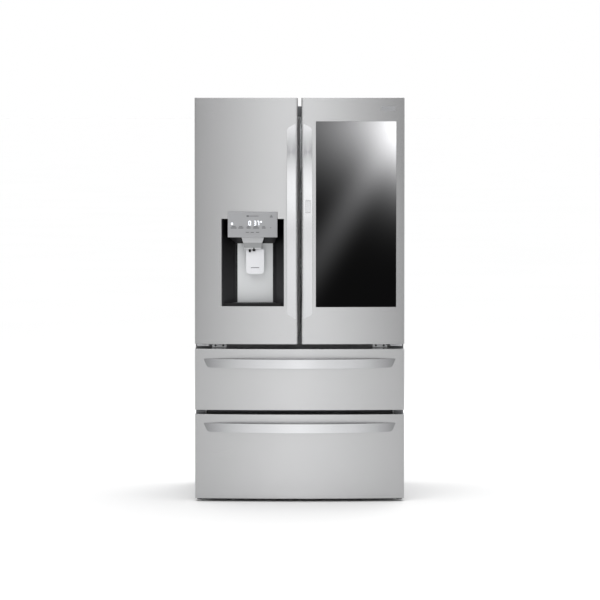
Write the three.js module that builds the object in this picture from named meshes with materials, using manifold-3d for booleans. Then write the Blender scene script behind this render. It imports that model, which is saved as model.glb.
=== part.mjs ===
// A 36-inch, four-door french door refrigerator: two doors above, two freezer drawers below.
// The left door carries a water and ice dispenser. The right door is a door in a door: an outer
// door with a dark window swings on an inner frame that holds bins.
// Millimetres. +Z is up, +X is to the right seen from the front, and the doors face -Y.
// The origin is on the floor, under the middle of the whole object.
import * as THREE from "three";
import { ConvexGeometry } from "three/addons/geometries/ConvexGeometry.js";
import { mergeVertices } from "three/addons/utils/BufferGeometryUtils.js";
import Module from "manifold-3d";

const wasm = await Module();
wasm.setup();

// ---------------------------------------------------------------- driving dimensions

const GAP = 0.3; // between pieces that touch
const SKIN = 2.5; // steel sheet of doors and drawers, hems included
const REAR = 460.5; // rearmost point of the object

const CASE = { half: 452, front: -286, back: 452, bottom: 28, top: 1712, sheet: 2 };
const FRIDGE = { half: 410, back: 395, bottom: 716, top: 1668, liner: 4 };
const FREEZER = { half: 410, back: 390, bottom: 92, top: 632, liner: 3.5 };
const FREEZER_STEP = { back: 200, top: 300 }; // the freezer is shallower below this height
const MACHINE_BAY = { half: 400, front: 235, bottom: 60, top: 275 };

const DOOR = { half: 454, gapHalf: 7.5, bottom: 684, top: 1750, back: -298, round: 8 };
const FRONT = { middle: -397, bow: 25 }; // the fronts share one shallow arc across the width
const FRONT_RADIUS = (DOOR.half ** 2 + FRONT.bow ** 2) / (2 * FRONT.bow);
const OUTER_DOOR_BACK = -340;

const DRAWERS = {
  middle: {
    bottom: 397.7, top: 663.5, handle: 602,
    tub: [436, 600], tubBack: 240, slide: 495, gasket: [404, 654],
  },
  lower: {
    bottom: 13, top: 379.5, handle: 323,
    tub: [106, 330], tubBack: 160, slide: 235, gasket: [60, 375],
  },
};
const DRAWER_RAIL = [358, 420];
const MIDDLE_RAIL = { front: -290, z: [662, 682] };

const HINGE = { x: 434, y: -322, pin: 5, arm: 14 };
const OUTER_HINGE = { x: 444, y: -354, pin: 4 };
const TOP_NOTCH = { x: 417, front: -354, floor: 1708 };
const OUTER_NOTCH = { x: 417, front: -366, floor: 1696, ceiling: 700 };

const GASKET = { outer: 432, free: 14, width: 14, front: DOOR.back + GAP, back: CASE.front - GAP };
const DOOR_GASKET = [693, 1700];

const HANDLE = { inner: 16.5, outer: 54.5, bottom: 793, top: 1638, front: -REAR, thick: 13, foot: 46 };
const BAR_HANDLE = { half: 417, height: 38, thick: 13, foot: 50 };
const BUTTON = { x: [26, 48], z: [1255, 1308], depth: 5.5, pocket: 8.5 };

const RECESS = { x: [-337.5, -68], z: [849, 1227], back: -315, backX: [-275, -109], wall: 3 };
const PANEL = { x: [-310.5, -95.4], z: [1147, 1257], front: -402, back: -372 };
const CHUTE = { top: [-252, -154], bottom: [-237, -163], z: [1095, 1147], y: [-371.5, -328], wall: 3 };
const PADDLE = { x: [-232, -154], z: [987, 1094], y: [-352, -346], round: 16 };

const WINDOW = { x: [70, 418], z: [845, 1648], rim: 22, glass: 5 };
const DYKE = { outer: [388, 400], inner: [80, 92], back: -200, z: [722, 1655] };
const MULLION = { pivotX: -38, pivotY: -290, x: [-42, 3], y: [-285.7, -262], z: [724, 1660] };

const SHELF = { half: 403, front: -110, back: 385, glass: 5, trim: 12, drop: 16 };
const SHELF_UPPER_Z = 1446;
const SHELF_MIDDLE_Z = 1212;
const CRISPER_SHELF_Z = 976;
const CRISPER = { x: [16, 394], y: [-100, 290], z: [735, 946], lip: [9, 403], ledge: 938 };

// ---------------------------------------------------------------- solids

/** Turns a closed three.js geometry into a solid that can be cut and joined. */
function solid(geometry) {
  const bare = geometry.clone();
  bare.deleteAttribute("normal");
  bare.deleteAttribute("uv");
  const merged = mergeVertices(bare, 1e-3);
  const vertProperties = merged.attributes.position.array;
  const triVerts = new Uint32Array(merged.index.array);
  return new wasm.Manifold(new wasm.Mesh({ numProp: 3, vertProperties, triVerts }));
}

/** A box from three ranges. */
function block([x0, x1], [y0, y1], [z0, z1]) {
  const box = new THREE.BoxGeometry(x1 - x0, y1 - y0, z1 - z0);
  box.translate((x0 + x1) / 2, (y0 + y1) / 2, (z0 + z1) / 2);
  return solid(box);
}

/** Extrudes an outline of [u, v] points and turns it so that the depth runs along one axis. */
function prism(points, axis, [from, to]) {
  const shape = new THREE.Shape(points.map(([u, v]) => new THREE.Vector2(u, v)));
  const geometry = new THREE.ExtrudeGeometry(shape, { depth: to - from, bevelEnabled: false });
  return solid(place(geometry, axis, from, to));
}

/** Turns an extrusion: "z" keeps [x, y] outlines, "x" takes [y, z] and "y" takes [x, z]. */
function place(geometry, axis, from, to) {
  const [X, Y, Z] = [[1, 0, 0], [0, 1, 0], [0, 0, 1]].map((v) => new THREE.Vector3(...v));
  const turn = new THREE.Matrix4();
  if (axis === "x") turn.makeBasis(Y, Z, X).setPosition(from, 0, 0);
  if (axis === "y") turn.makeBasis(X, Z, Y.negate()).setPosition(0, to, 0);
  if (axis === "z") turn.setPosition(0, 0, from);
  return geometry.applyMatrix4(turn);
}

/** A round bar along an axis, from its centre line's [u, v] and its ends. */
function rod(axis, [u, v], radius, [from, to], sides = 20) {
  const circle = [];
  for (let i = 0; i < sides; i++) {
    const angle = (2 * Math.PI * i) / sides;
    circle.push([u + radius * Math.cos(angle), v + radius * Math.sin(angle)]);
  }
  return prism(circle, axis, [from, to]);
}

/** The solid around eight or more points. */
function hull(points) {
  return solid(new ConvexGeometry(points.map((p) => new THREE.Vector3(...p))));
}

/** A body between two rectangles that lie at different heights or depths along `axis`. */
function taper(axis, [a, rectA], [b, rectB]) {
  const points = [[a, rectA], [b, rectB]].flatMap(([w, [us, vs]]) =>
    us.flatMap((u) => vs.map((v) => (axis === "y" ? [u, w, v] : [u, v, w]))),
  );
  return hull(points);
}

/** Joins solids. */
function join(...solids) {
  return solids.reduce((all, next) => all.add(next));
}

/** Cuts every later solid from the first. */
function cut(first, ...others) {
  return others.reduce((rest, next) => rest.subtract(next), first);
}

/** A range on one side of the middle: side -1 mirrors it to the left. */
function span(side, a, b) {
  return side > 0 ? [a, b] : [-b, -a];
}

/** A range made wider at both ends. */
function grow([low, high], by) {
  return [low - by, high + by];
}

/** An open-topped tub with a wall and a floor of the same thickness. */
function tub(x, y, [bottom, top], wall) {
  return cut(block(x, y, [bottom, top]), block(grow(x, -wall), grow(y, -wall), [bottom + wall, top + 1]));
}

/** A door seal: a rectangular ring between a door's back and the case. */
function seal(x, z) {
  const { width, front, back } = GASKET;
  return cut(block(x, [front, back], z), block(grow(x, -width), [front - 1, back + 1], grow(z, -width)));
}

// ---------------------------------------------------------------- the shared front arc

/** Depth of the fronts at a distance x from the middle. */
function frontY(x) {
  return FRONT.middle + FRONT_RADIUS - Math.sqrt(FRONT_RADIUS ** 2 - x ** 2);
}

/** Plan outline of a door or drawer front: bowed front, rounded corners, flat back. */
function frontOutline([x0, x1], inset, back) {
  const round = Math.max(DOOR.round - inset, 1);
  const [left, right] = [x0 + inset, x1 - inset];
  const steps = Math.ceil((x1 - x0) / 76);
  const cornerSteps = 4;
  const points = [[left, back]];
  for (let i = 0; i <= cornerSteps; i++) {
    const angle = (Math.PI / 2) * (i / cornerSteps);
    const x = left + round * (1 - Math.cos(angle));
    points.push([x, frontY(left + round) + inset + round * (1 - Math.sin(angle))]);
  }
  for (let i = 1; i < steps; i++) {
    const x = left + round + ((right - left - 2 * round) * i) / steps;
    points.push([x, frontY(x) + inset]);
  }
  for (let i = cornerSteps; i >= 0; i--) {
    const angle = (Math.PI / 2) * (i / cornerSteps);
    const x = right - round * (1 - Math.cos(angle));
    points.push([x, frontY(right - round) + inset + round * (1 - Math.sin(angle))]);
  }
  points.push([right, back]);
  return points;
}

/** A steel pan: the skin of a door or drawer, open at the back. */
function steelPan(x, [bottom, top], back) {
  const outside = prism(frontOutline(x, 0, back), "z", [bottom, top]);
  const inside = prism(frontOutline(x, SKIN, back + 1), "z", [bottom + SKIN, top - SKIN]);
  return cut(outside, inside);
}

/** The insulated core that fills a steel pan and closes its back. */
function panCore(x, [bottom, top], back) {
  const inset = SKIN + GAP;
  return prism(frontOutline(x, inset, back), "z", [bottom + inset, top - inset]);
}

/** A curved plate that follows the front arc. */
function bowedPlate([x0, x1], z, [near, far]) {
  const steps = 6;
  const points = [];
  for (let i = 0; i <= steps; i++) {
    const x = x0 + ((x1 - x0) * i) / steps;
    points.push([x, frontY(x) + near]);
  }
  for (let i = steps; i >= 0; i--) {
    const x = x0 + ((x1 - x0) * i) / steps;
    points.push([x, frontY(x) + far]);
  }
  return prism(points, "z", z);
}

// ---------------------------------------------------------------- finishes

const FINISHES = {
  steel: { color: 0xc4c4c2, roughness: 0.35, metalness: 0.9 },
  brightSteel: { color: 0xd8d8d6, roughness: 0.25, metalness: 0.95 },
  caseGrey: { color: 0x8c8d8f, roughness: 0.5, metalness: 0.4 },
  zinc: { color: 0xa9abad, roughness: 0.4, metalness: 0.8 },
  liner: { color: 0xf1f2f2, roughness: 0.45, metalness: 0 },
  foam: { color: 0xe6d9a6, roughness: 0.9, metalness: 0 },
  clear: { color: 0xdfe9ee, roughness: 0.1, metalness: 0, transparent: true, opacity: 0.45 },
  darkGlass: { color: 0x1c1d1f, roughness: 0.05, metalness: 0.3 },
  black: { color: 0x1b1b1c, roughness: 0.5, metalness: 0 },
  rubber: { color: 0x8f9193, roughness: 0.85, metalness: 0 },
  silver: { color: 0xb9babb, roughness: 0.35, metalness: 0.6 },
};

/** A named mesh from a solid. */
function piece(name, finish, body) {
  const { vertProperties, triVerts } = body.getMesh();
  const geometry = new THREE.BufferGeometry();
  geometry.setAttribute("position", new THREE.BufferAttribute(new Float32Array(vertProperties), 3));
  geometry.setIndex(new THREE.BufferAttribute(new Uint32Array(triVerts), 1));
  const faceted = geometry.toNonIndexed();
  faceted.computeVertexNormals();
  const mesh = new THREE.Mesh(faceted, new THREE.MeshStandardMaterial(FINISHES[finish]));
  mesh.name = name;
  return mesh;
}

/** A group of meshes that move as one. */
function assembly(...meshes) {
  const group = new THREE.Group();
  group.add(...meshes);
  return group;
}

// ---------------------------------------------------------------- cabinet

const REAR_ROLLER = { x: 400, y: 400, z: 14, radius: 13.8, axle: 4, half: 11 };

/** Two ears under the case that hold one end of the roller axle. */
function rollerEars(side) {
  const { x, y, z, axle } = REAR_ROLLER;
  const ear = (near) => cut(
    block(span(side, near, near + 5), [y - 14, y + 14], [5, CASE.bottom + 1]),
    rod("x", [y, z], axle + GAP, grow(span(side, near, near + 5), 1)),
  );
  return join(ear(x - 20), ear(x + 15));
}

/** Steel wrapper with its front flange, the machine bay's opening and the roller ears. */
function cabinetShell() {
  const { half, front, back, bottom, top, sheet } = CASE;
  const outside = block([-half, half], [front, back], [bottom, top]);
  const inside = block(grow([-half, half], -sheet), grow([front, back], -sheet), grow([bottom, top], -sheet));
  const fridge = block([-FRIDGE.half, FRIDGE.half], [front - 1, front + 10], [FRIDGE.bottom, FRIDGE.top]);
  const freezer = block([-FREEZER.half, FREEZER.half], [front - 1, front + 10], [FREEZER.bottom, FREEZER.top]);
  const bay = block(
    [-MACHINE_BAY.half, MACHINE_BAY.half], [back - 10, back + 1], [MACHINE_BAY.bottom, MACHINE_BAY.top],
  );
  const wrapper = cut(outside, inside, fridge, freezer, bay);
  return join(wrapper, rollerEars(-1), rollerEars(1));
}

/** Foam that fills the walls, with the three hollows. */
function cabinetFoam() {
  const { half, front, back, bottom, top, sheet } = CASE;
  const inset = -(sheet + GAP);
  const filling = block(grow([-half, half], inset), grow([front, back], inset), grow([bottom, top], inset));
  const fridge = block(
    [-FRIDGE.half, FRIDGE.half], [front - 1, FRIDGE.back], [FRIDGE.bottom, FRIDGE.top],
  );
  const bay = block(
    [-MACHINE_BAY.half, MACHINE_BAY.half], [MACHINE_BAY.front, back + 1],
    [MACHINE_BAY.bottom, MACHINE_BAY.top],
  );
  return cut(filling, fridge, freezerSpace(0), bay);
}

/** The freezer's stepped hollow, made smaller by an inset. */
function freezerSpace(inset) {
  const x = grow([-FREEZER.half, FREEZER.half], -inset);
  const front = CASE.front - 1;
  const step = FREEZER_STEP.top + inset;
  return join(
    block(x, [front, FREEZER_STEP.back - inset], [FREEZER.bottom + inset, FREEZER.top - inset]),
    block(x, [front, FREEZER.back - inset], [step, FREEZER.top - inset]),
  );
}

/** A ledge along one side wall that a shelf or drawer rests on. */
function ledge(side, y, top) {
  const inner = FRIDGE.half - FRIDGE.liner;
  return block(span(side, inner - 8, inner + 1), y, [top - 8, top]);
}

/** Plastic fridge liner with the side ledges and three shelf tracks on its back wall. */
function fridgeLiner() {
  const { half, back, bottom, top, liner } = FRIDGE;
  const outside = block(
    grow([-half, half], -GAP), [CASE.front, back - GAP], grow([bottom, top], -GAP),
  );
  const inside = block(
    grow([-half, half], -liner), [CASE.front - 1, back - liner], grow([bottom, top], -liner),
  );
  const ledges = [-1, 1].flatMap((side) => [
    ledge(side, [-60, 370], SHELF_UPPER_Z - GAP),
    ledge(side, [-60, 370], SHELF_MIDDLE_Z - GAP),
    ledge(side, [-60, 370], CRISPER_SHELF_Z - GAP),
    ledge(side, [-95, 300], CRISPER.ledge),
  ]);
  const tracks = [-290, 0, 290].map((x) =>
    block([x - 8, x + 8], [back - liner - 4, back - liner + 1], [1020, 1640]),
  );
  return join(cut(outside, inside), ...ledges, ...tracks);
}

/** Plastic freezer liner, stepped over the machine bay. */
function freezerLiner() {
  const front = block([-FREEZER.half, FREEZER.half], [CASE.front - 2, CASE.front], [0, CASE.top]);
  return cut(freezerSpace(GAP), front, freezerSpace(FREEZER.liner));
}

/** Trim between the doors and the drawers. */
function middleRail() {
  return block([-CASE.half, CASE.half], [MIDDLE_RAIL.front, CASE.front - GAP], MIDDLE_RAIL.z);
}

/** Rail that both drawers seal against. */
function drawerRail() {
  const half = FREEZER.half - FREEZER.liner - GAP;
  return block([-half, half], [CASE.front, CASE.front + 40], DRAWER_RAIL);
}

/** Slotted grille under the case, behind the lower drawer. */
function baseGrille() {
  const slots = [];
  for (let x = -360; x <= 360; x += 40) {
    slots.push(block([x - 14, x + 14], [-290, -270], [11, 21]));
  }
  return cut(block([-400, 400], [-284, -276], [5, CASE.bottom - GAP]), ...slots);
}

const FAN = { x: 200, z: 168, hub: 22, blade: 84, y: [372, 396], shaft: 4, blades: 5 };

/** Rear cover of the machine bay with its slots, stand-off ribs and fan motor. */
function rearCover() {
  const plate = block([-412, 412], [CASE.back + GAP, CASE.back + 3.3], [50, 285]);
  const slots = [];
  for (let x = -360; x <= 360; x += 48) {
    for (const z of [100, 168, 236]) {
      if (Math.abs(x - FAN.x) > 40 || z !== FAN.z) {
        slots.push(block([x - 5, x + 5], [CASE.back - 1, CASE.back + 10], [z - 24, z + 24]));
      }
    }
  }
  const ribs = [-396, 396].map((x) => block([x - 8, x + 8], [CASE.back + 2, REAR], [70, 265]));
  const motor = rod("y", [FAN.x, FAN.z], 28, [404, CASE.back + 2], 24);
  const shaft = rod("y", [FAN.x, FAN.z], FAN.shaft, [366, 405], 16);
  return join(cut(plate, ...slots), ...ribs, motor, shaft);
}

/** Hermetic compressor on its foot plate. */
function compressor() {
  const profile = [[0, 0], [84, 0], [88, 14], [88, 90], [78, 124], [52, 146], [20, 154], [0, 154]];
  const pot = new THREE.LatheGeometry(profile.map(([r, z]) => new THREE.Vector2(r, z)), 28);
  pot.rotateX(Math.PI / 2);
  pot.translate(-210, 345, 74);
  const plate = block([-330, -90], [262, 428], [MACHINE_BAY.bottom + GAP, 66]);
  const feet = [-290, -130].flatMap((x) => [290, 400].map((y) => rod("z", [x, y], 14, [65, 84], 12)));
  const pipe = rod("z", [-150, 300], 6, [65, 250], 10);
  return join(solid(pot), plate, ...feet, pipe, block([-290, -130], [290, 400], [80, 88]));
}

/** Top hinge: a plate on the case with an arm and a pin that hangs into the door. */
function topHinge(side) {
  const { x, y, pin, arm } = HINGE;
  const z = [CASE.top + GAP, CASE.top + 6.3];
  const plate = block(span(side, x - 34, x + arm), [CASE.front + 14, -200], z);
  const reach = block(span(side, x - arm, x + arm), [y, CASE.front + 30], z);
  const eye = rod("z", [side * x, y], arm, z, 24);
  return join(plate, reach, eye, rod("z", [side * x, y], pin, [1690, z[1] + 6]));
}

/** Middle hinge: a face plate on the rail and an arm whose pin stands up into the door. */
function middleHinge(side) {
  const { x, y, pin } = HINGE;
  const back = MIDDLE_RAIL.front - GAP;
  const face = block(span(side, 318, 381), [back - 5.7, back], [665, 681]);
  const arm = block(span(side, 345, x + 11), [y - 11, back], [674, 680]);
  const corner = block(span(side, x, x + 12), [y - 12, y], [670, 690]);
  const eye = rod("z", [side * x, y], 11, [674, 680], 24);
  return join(face, cut(arm, corner), eye, rod("z", [side * x, y], pin, [679, 704]));
}

/** A glass shelf with its front trim. */
function shelf(x, front, z) {
  return join(
    block(x, [front, SHELF.back], [z, z + SHELF.glass]),
    block(x, [front, front + SHELF.trim], [z - SHELF.drop, z + SHELF.glass + 2]),
  );
}

/** Left half shelf with the bracket that hooks on the middle track. */
function shelfMiddleLeft() {
  const bracket = hull([
    [-14, 385, 1160], [-14, 385, SHELF_MIDDLE_Z + 1], [-14, -60, SHELF_MIDDLE_Z + 1], [-14, -60, 1200],
    [-10, 385, 1160], [-10, 385, SHELF_MIDDLE_Z + 1], [-10, -60, SHELF_MIDDLE_Z + 1], [-10, -60, 1200],
  ]);
  return join(shelf([-SHELF.half, -8], SHELF.front, SHELF_MIDDLE_Z), bracket);
}

const FOLD = { split: 138, frontTop: SHELF_MIDDLE_Z - 2, x: [16, 394] };

/** Fixed rear half of the folding shelf, with the two arms that carry the front half. */
function foldShelfRear() {
  const plate = block([8, SHELF.half], [FOLD.split, SHELF.back], [SHELF_MIDDLE_Z, SHELF_MIDDLE_Z + 5]);
  const arm = (x) => block(x, [-90, SHELF.back], [1184, FOLD.frontTop - 5 - GAP]);
  const link = (x) => block(x, [FOLD.split, SHELF.back], [1190, SHELF_MIDDLE_Z + 1]);
  return join(plate, arm([8, 24]), arm([384, 397]), link([8, 15]), link([395, 397]));
}

/** Sliding front half of the folding shelf, which goes under the rear half. */
function foldShelfFront() {
  const top = FOLD.frontTop;
  return join(
    block(FOLD.x, [SHELF.front, FOLD.split - 2], [top - 5, top]),
    block(grow(FOLD.x, -12), [SHELF.front, SHELF.front + SHELF.trim], [top - 20, top]),
  );
}

/** Shelf over the crispers with the wall between them and its ledges. */
function crisperShelf() {
  const wall = block([-6, 6], [-90, 300], [724, CRISPER_SHELF_Z + 1]);
  const ledges = block([-14, 14], [-90, 300], [CRISPER.ledge - 8, CRISPER.ledge]);
  return join(shelf([-SHELF.half, SHELF.half], SHELF.front, CRISPER_SHELF_Z), wall, ledges);
}

/** Crisper drawer: a tub with a lip that slides on the ledges. */
function crisper(side) {
  const { x, y, z, lip, ledge: top } = CRISPER;
  const outer = span(side, ...x);
  const rim = block(span(side, ...lip), y, [top + GAP, z[1]]);
  const hollow = block(grow(outer, -3), grow(y, -3), [z[0] + 3, z[1] + 1]);
  const pull = block(span(side, 120, 290), [y[0] - 8, y[0] + 1], [918, z[1]]);
  return join(cut(join(block(outer, y, z), rim), hollow), pull);
}

/** Rails of both freezer drawers on one side wall. */
function freezerRails(side) {
  const wall = FREEZER.half - FREEZER.liner - GAP;
  const plate = block(span(side, wall - 3, wall), [-240, 180], [200, 530]);
  const rails = Object.values(DRAWERS).map(({ slide }) =>
    block(span(side, wall - 12, wall - 2), [-240, 180], [slide - 18, slide + 18]),
  );
  return join(plate, ...rails);
}

/** Levelling leg: a foot and its threaded stem. */
function leg(side) {
  const place2d = [side * 437, -268];
  return join(
    rod("z", place2d, 11, [0, 7], 24),
    rod("z", place2d, 5, [6, CASE.bottom - GAP], 12),
  );
}

/** Two rear rollers on one axle. */
function rearRollers() {
  const { x, y, z, radius, axle, half } = REAR_ROLLER;
  const wheel = (side) => rod("x", [y, z], radius, grow([side * x, side * x], half), 32);
  return join(wheel(-1), wheel(1), rod("x", [y, z], axle, [-x - 21, x + 21], 16));
}

/** Condenser fan on the motor's shaft. */
function condenserFan() {
  const { x, z, hub, blade, y, shaft, blades } = FAN;
  const blank = rod("y", [x, z], hub, y, 24);
  const vanes = [];
  for (let i = 0; i < blades; i++) {
    const vane = new THREE.BoxGeometry(blade - hub + 4, 2.5, 44);
    vane.rotateX(0.5);
    vane.translate((blade + hub - 4) / 2, 0, 0);
    vane.rotateY((2 * Math.PI * i) / blades);
    vane.translate(x, (y[0] + y[1]) / 2, z);
    vanes.push(solid(vane));
  }
  return cut(join(blank, ...vanes), rod("y", [x, z], shaft + GAP, grow(y, 1), 16));
}

/** The cabinet's fixed pieces. */
function cabinet() {
  return assembly(
    piece("cabinet_shell", "caseGrey", cabinetShell()),
    piece("cabinet_foam", "foam", cabinetFoam()),
    piece("fridge_liner", "liner", fridgeLiner()),
    piece("freezer_liner", "liner", freezerLiner()),
    piece("middle_rail", "caseGrey", middleRail()),
    piece("drawer_rail", "caseGrey", drawerRail()),
    piece("base_grille", "caseGrey", baseGrille()),
    piece("rear_cover", "caseGrey", rearCover()),
    piece("compressor", "black", compressor()),
    piece("top_hinge_left", "zinc", topHinge(-1)),
    piece("top_hinge_right", "zinc", topHinge(1)),
    piece("middle_hinge_left", "zinc", middleHinge(-1)),
    piece("middle_hinge_right", "zinc", middleHinge(1)),
    piece("shelf_upper", "clear", shelf([-SHELF.half, SHELF.half], SHELF.front, SHELF_UPPER_Z)),
    piece("shelf_middle_left", "clear", shelfMiddleLeft()),
    piece("fold_shelf_rear", "clear", foldShelfRear()),
    piece("crisper_shelf", "clear", crisperShelf()),
    piece("freezer_rails_left", "zinc", freezerRails(-1)),
    piece("freezer_rails_right", "zinc", freezerRails(1)),
  );
}

/** Pieces that move in the cabinet. */
function cabinetMovers() {
  return assembly(
    piece("fold_shelf_front", "clear", foldShelfFront()),
    piece("crisper_left", "clear", crisper(-1)),
    piece("crisper_right", "clear", crisper(1)),
    piece("leg_left", "black", leg(-1)),
    piece("leg_right", "black", leg(1)),
    piece("rear_rollers", "black", rearRollers()),
    piece("condenser_fan", "black", condenserFan()),
  );
}

// ---------------------------------------------------------------- handles

/** Outline of a bowed handle seen from its side: [depth, length] points. */
function handleProfile(from, to, base, thick, foot) {
  const arc = (a, b, rise) => {
    const half = (b - a) / 2;
    const radius = (half ** 2 + rise ** 2) / (2 * rise);
    const points = [];
    for (let i = 0; i <= 16; i++) {
      const t = -half + (2 * half * i) / 16;
      points.push([base - rise + radius - Math.sqrt(radius ** 2 - t ** 2), (a + b) / 2 + t]);
    }
    return points;
  };
  const rise = base - HANDLE.front;
  return [...arc(from, to, rise), ...arc(from + foot, to - foot, rise - thick).reverse()];
}

/** Extrudes a handle's profile across its width, with softened edges. */
function handleBar(profile, axis, [from, to], soft) {
  const shape = new THREE.Shape(profile.map(([u, v]) => new THREE.Vector2(u, v)));
  const geometry = new THREE.ExtrudeGeometry(shape, {
    depth: to - from - 2 * soft, bevelEnabled: true, bevelThickness: soft, bevelSize: soft,
    bevelOffset: -soft, bevelSegments: 2,
  });
  return solid(place(geometry, axis, from + soft, to - soft));
}

/** Vertical door handle on one side of the gap. */
function doorHandle(side) {
  const base = frontY(HANDLE.inner) - GAP;
  const profile = handleProfile(HANDLE.bottom, HANDLE.top, base, HANDLE.thick, HANDLE.foot);
  return handleBar(profile, "x", span(side, HANDLE.inner, HANDLE.outer), 3.5);
}

/** Depth of the button's seat on the right handle. */
function buttonFront() {
  return HANDLE.front + 1.4;
}

/** Right handle with the pocket for the release button. */
function rightHandle() {
  const front = buttonFront();
  return cut(doorHandle(1), block(grow(BUTTON.x, GAP), [front - 6, front + BUTTON.pocket], grow(BUTTON.z, GAP)));
}

/** Button that lets the outer door open alone. */
function releaseButton() {
  const front = buttonFront();
  return block(BUTTON.x, [front - 0.5, front + BUTTON.depth - 0.5], BUTTON.z);
}

/** Horizontal drawer handle, bowed more than the front, which its two ends meet. */
function drawerHandle(z) {
  const { half, height, thick, foot } = BAR_HANDLE;
  const lengthwise = handleProfile(-half, half, frontY(half), thick, foot).map(([depth, x]) => [x, depth]);
  const bar = handleBar(lengthwise, "z", [z - height / 2, z + height / 2], 3.5);
  const front = frontOutline([-DOOR.half, DOOR.half], -GAP, DOOR.back);
  return cut(bar, prism(front, "z", [z - height, z + height]));
}

// ---------------------------------------------------------------- left door

const LEFT = [-DOOR.half, -DOOR.gapHalf];
const DOOR_Z = [DOOR.bottom, DOOR.top];

/** Clearance that the top hinge's arm sweeps in the left door. */
function topNotch() {
  return block([-DOOR.half - 1, -TOP_NOTCH.x], [TOP_NOTCH.front, DOOR.back + 1], [TOP_NOTCH.floor, DOOR.top + 1]);
}

/** Bores for the two hinge pins of the left door. */
function pinBores() {
  const centre = [-HINGE.x, HINGE.y];
  const radius = HINGE.pin + GAP;
  return join(rod("z", centre, radius, [DOOR.bottom - 1, 706]), rod("z", centre, radius, [1688, DOOR.top]));
}

/** The dispenser recess as a solid, grown by a margin. */
function recessSpace(margin) {
  const { x, z, back, backX } = RECESS;
  const front = -420;
  const doorFront = frontY(-200);
  const reach = (doorFront - front) / (back - doorFront);
  const flare = [0, 1].map((i) => x[i] + (x[i] - backX[i]) * reach);
  const grown = (range) => grow(range, margin);
  return taper("y", [front, [grown(flare), grown(z)]], [back + margin, [grown(backX), grown(z)]]);
}

/** Steel skin of the left door with the dispenser's cut-outs. */
function leftDoorShell() {
  const recess = block(grow(RECESS.x, GAP), [-420, RECESS.back], grow(RECESS.z, GAP));
  const panel = block(grow(PANEL.x, GAP), [-420, PANEL.back], grow(PANEL.z, GAP));
  return cut(steelPan(LEFT, DOOR_Z, DOOR.back), recess, panel, topNotch(), pinBores());
}

/** Insulated core of the left door, with the inner panel's dykes that carry the bins. */
function leftDoorLiner() {
  const panel = block(grow(PANEL.x, GAP), [-420, PANEL.back + GAP], grow(PANEL.z, GAP));
  const dykes = [DYKE.inner, DYKE.outer].map((x) => block(span(-1, ...x), [DOOR.back - 1, DYKE.back], DYKE.z));
  const core = join(panCore(LEFT, DOOR_Z, DOOR.back), ...dykes);
  return cut(core, recessSpace(RECESS.wall + GAP), panel, topNotch(), pinBores());
}

/** Plastic recess of the dispenser: slanted sides, open at the front. */
function dispenserHousing() {
  const { wall, x, z } = RECESS;
  const ahead = bowedPlate(grow(x, 30), grow(z, 30), [-60, SKIN + GAP]);
  const panel = block(grow(PANEL.x, GAP), [-420, PANEL.back + GAP], grow(PANEL.z, GAP));
  return cut(recessSpace(wall), recessSpace(0), ahead, panel);
}

/** Control panel that overhangs the recess. */
function controlPanel() {
  const { x, z, front, back } = PANEL;
  const slope = [[front + 4, z[0]], [back, z[0]], [back, z[1]], [front, z[1]], [front - 0.5, z[0] + 12]];
  return prism(slope, "x", x);
}

/** Ice chute behind and below the control panel. */
function iceChute() {
  const { top, bottom, z, y, wall } = CHUTE;
  const ceiling = RECESS.z[1] - GAP;
  const outside = join(
    block(top, y, [z[1], ceiling]),
    taper("z", [z[0], [bottom, grow(y, -4)]], [z[1], [top, y]]),
  );
  const inside = join(
    block(grow(top, -wall), grow(y, -wall), [z[1], ceiling + 1]),
    taper("z", [z[0] - 1, [grow(bottom, -wall), grow(y, -7)]], [z[1] + 0.5, [grow(top, -wall), grow(y, -wall)]]),
  );
  return cut(outside, inside);
}

/** Paddle that a glass pushes back. */
function dispenserPaddle() {
  const { x, z, y, round } = PADDLE;
  const outline = [[x[1], z[1]], [x[0], z[1]]];
  for (let i = 0; i <= 4; i++) {
    const angle = Math.PI + (Math.PI / 2) * (i / 4);
    outline.push([x[0] + round * (1 + Math.cos(angle)), z[0] + round * (1 + Math.sin(angle))]);
  }
  for (let i = 0; i <= 4; i++) {
    const angle = -(Math.PI / 2) * (1 - i / 4);
    outline.push([x[1] + round * (Math.cos(angle) - 1), z[0] + round * (1 + Math.sin(angle))]);
  }
  return prism(outline, "y", y);
}

/** Drip tray that slides out of the recess's floor. */
function dripTray() {
  const z = [RECESS.z[0] + GAP, RECESS.z[0] + 14];
  const outline = [[-326, -386], [-79, -386], [-113, -322], [-271, -322]];
  const hollow = [[-320, -382], [-85, -382], [-116, -326], [-268, -326]];
  return cut(prism(outline, "z", z), prism(hollow, "z", [z[0] + 3, z[1] + 1]));
}

const ICE = { z: [1236, 1642], back: -132 };

/** Insulated ice compartment on the inside of the left door, open towards the shelves. */
function iceCompartment() {
  const x = span(-1, DYKE.inner[1] + GAP, DYKE.outer[0] - GAP);
  const y = [DOOR.back + GAP, ICE.back];
  return cut(block(x, y, ICE.z), block(grow(x, -12), [y[0] + 12, y[1] + 1], grow(ICE.z, -12)));
}

/** Door bin that fits between the dykes of the left door. */
function leftBin(bottom) {
  const x = span(-1, DYKE.inner[1] + GAP, DYKE.outer[0] - GAP);
  return tub(x, [DOOR.back + GAP, DYKE.back + 5], [bottom, bottom + 100], 3);
}

/** Flipping mullion that closes the gap between the two doors. */
function mullion() {
  const { pivotX, pivotY, x, y, z } = MULLION;
  const bar = block(x, y, z);
  const knuckles = [780, 1192, 1604].map((mid) => rod("z", [pivotX, pivotY], 4.3, grow([mid, mid], 20), 16));
  const webs = [780, 1192, 1604].map((mid) =>
    block([pivotX - 2, pivotX + 2], [pivotY, y[0] + 1], grow([mid, mid], 20)),
  );
  return join(bar, ...knuckles, ...webs);
}

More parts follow.
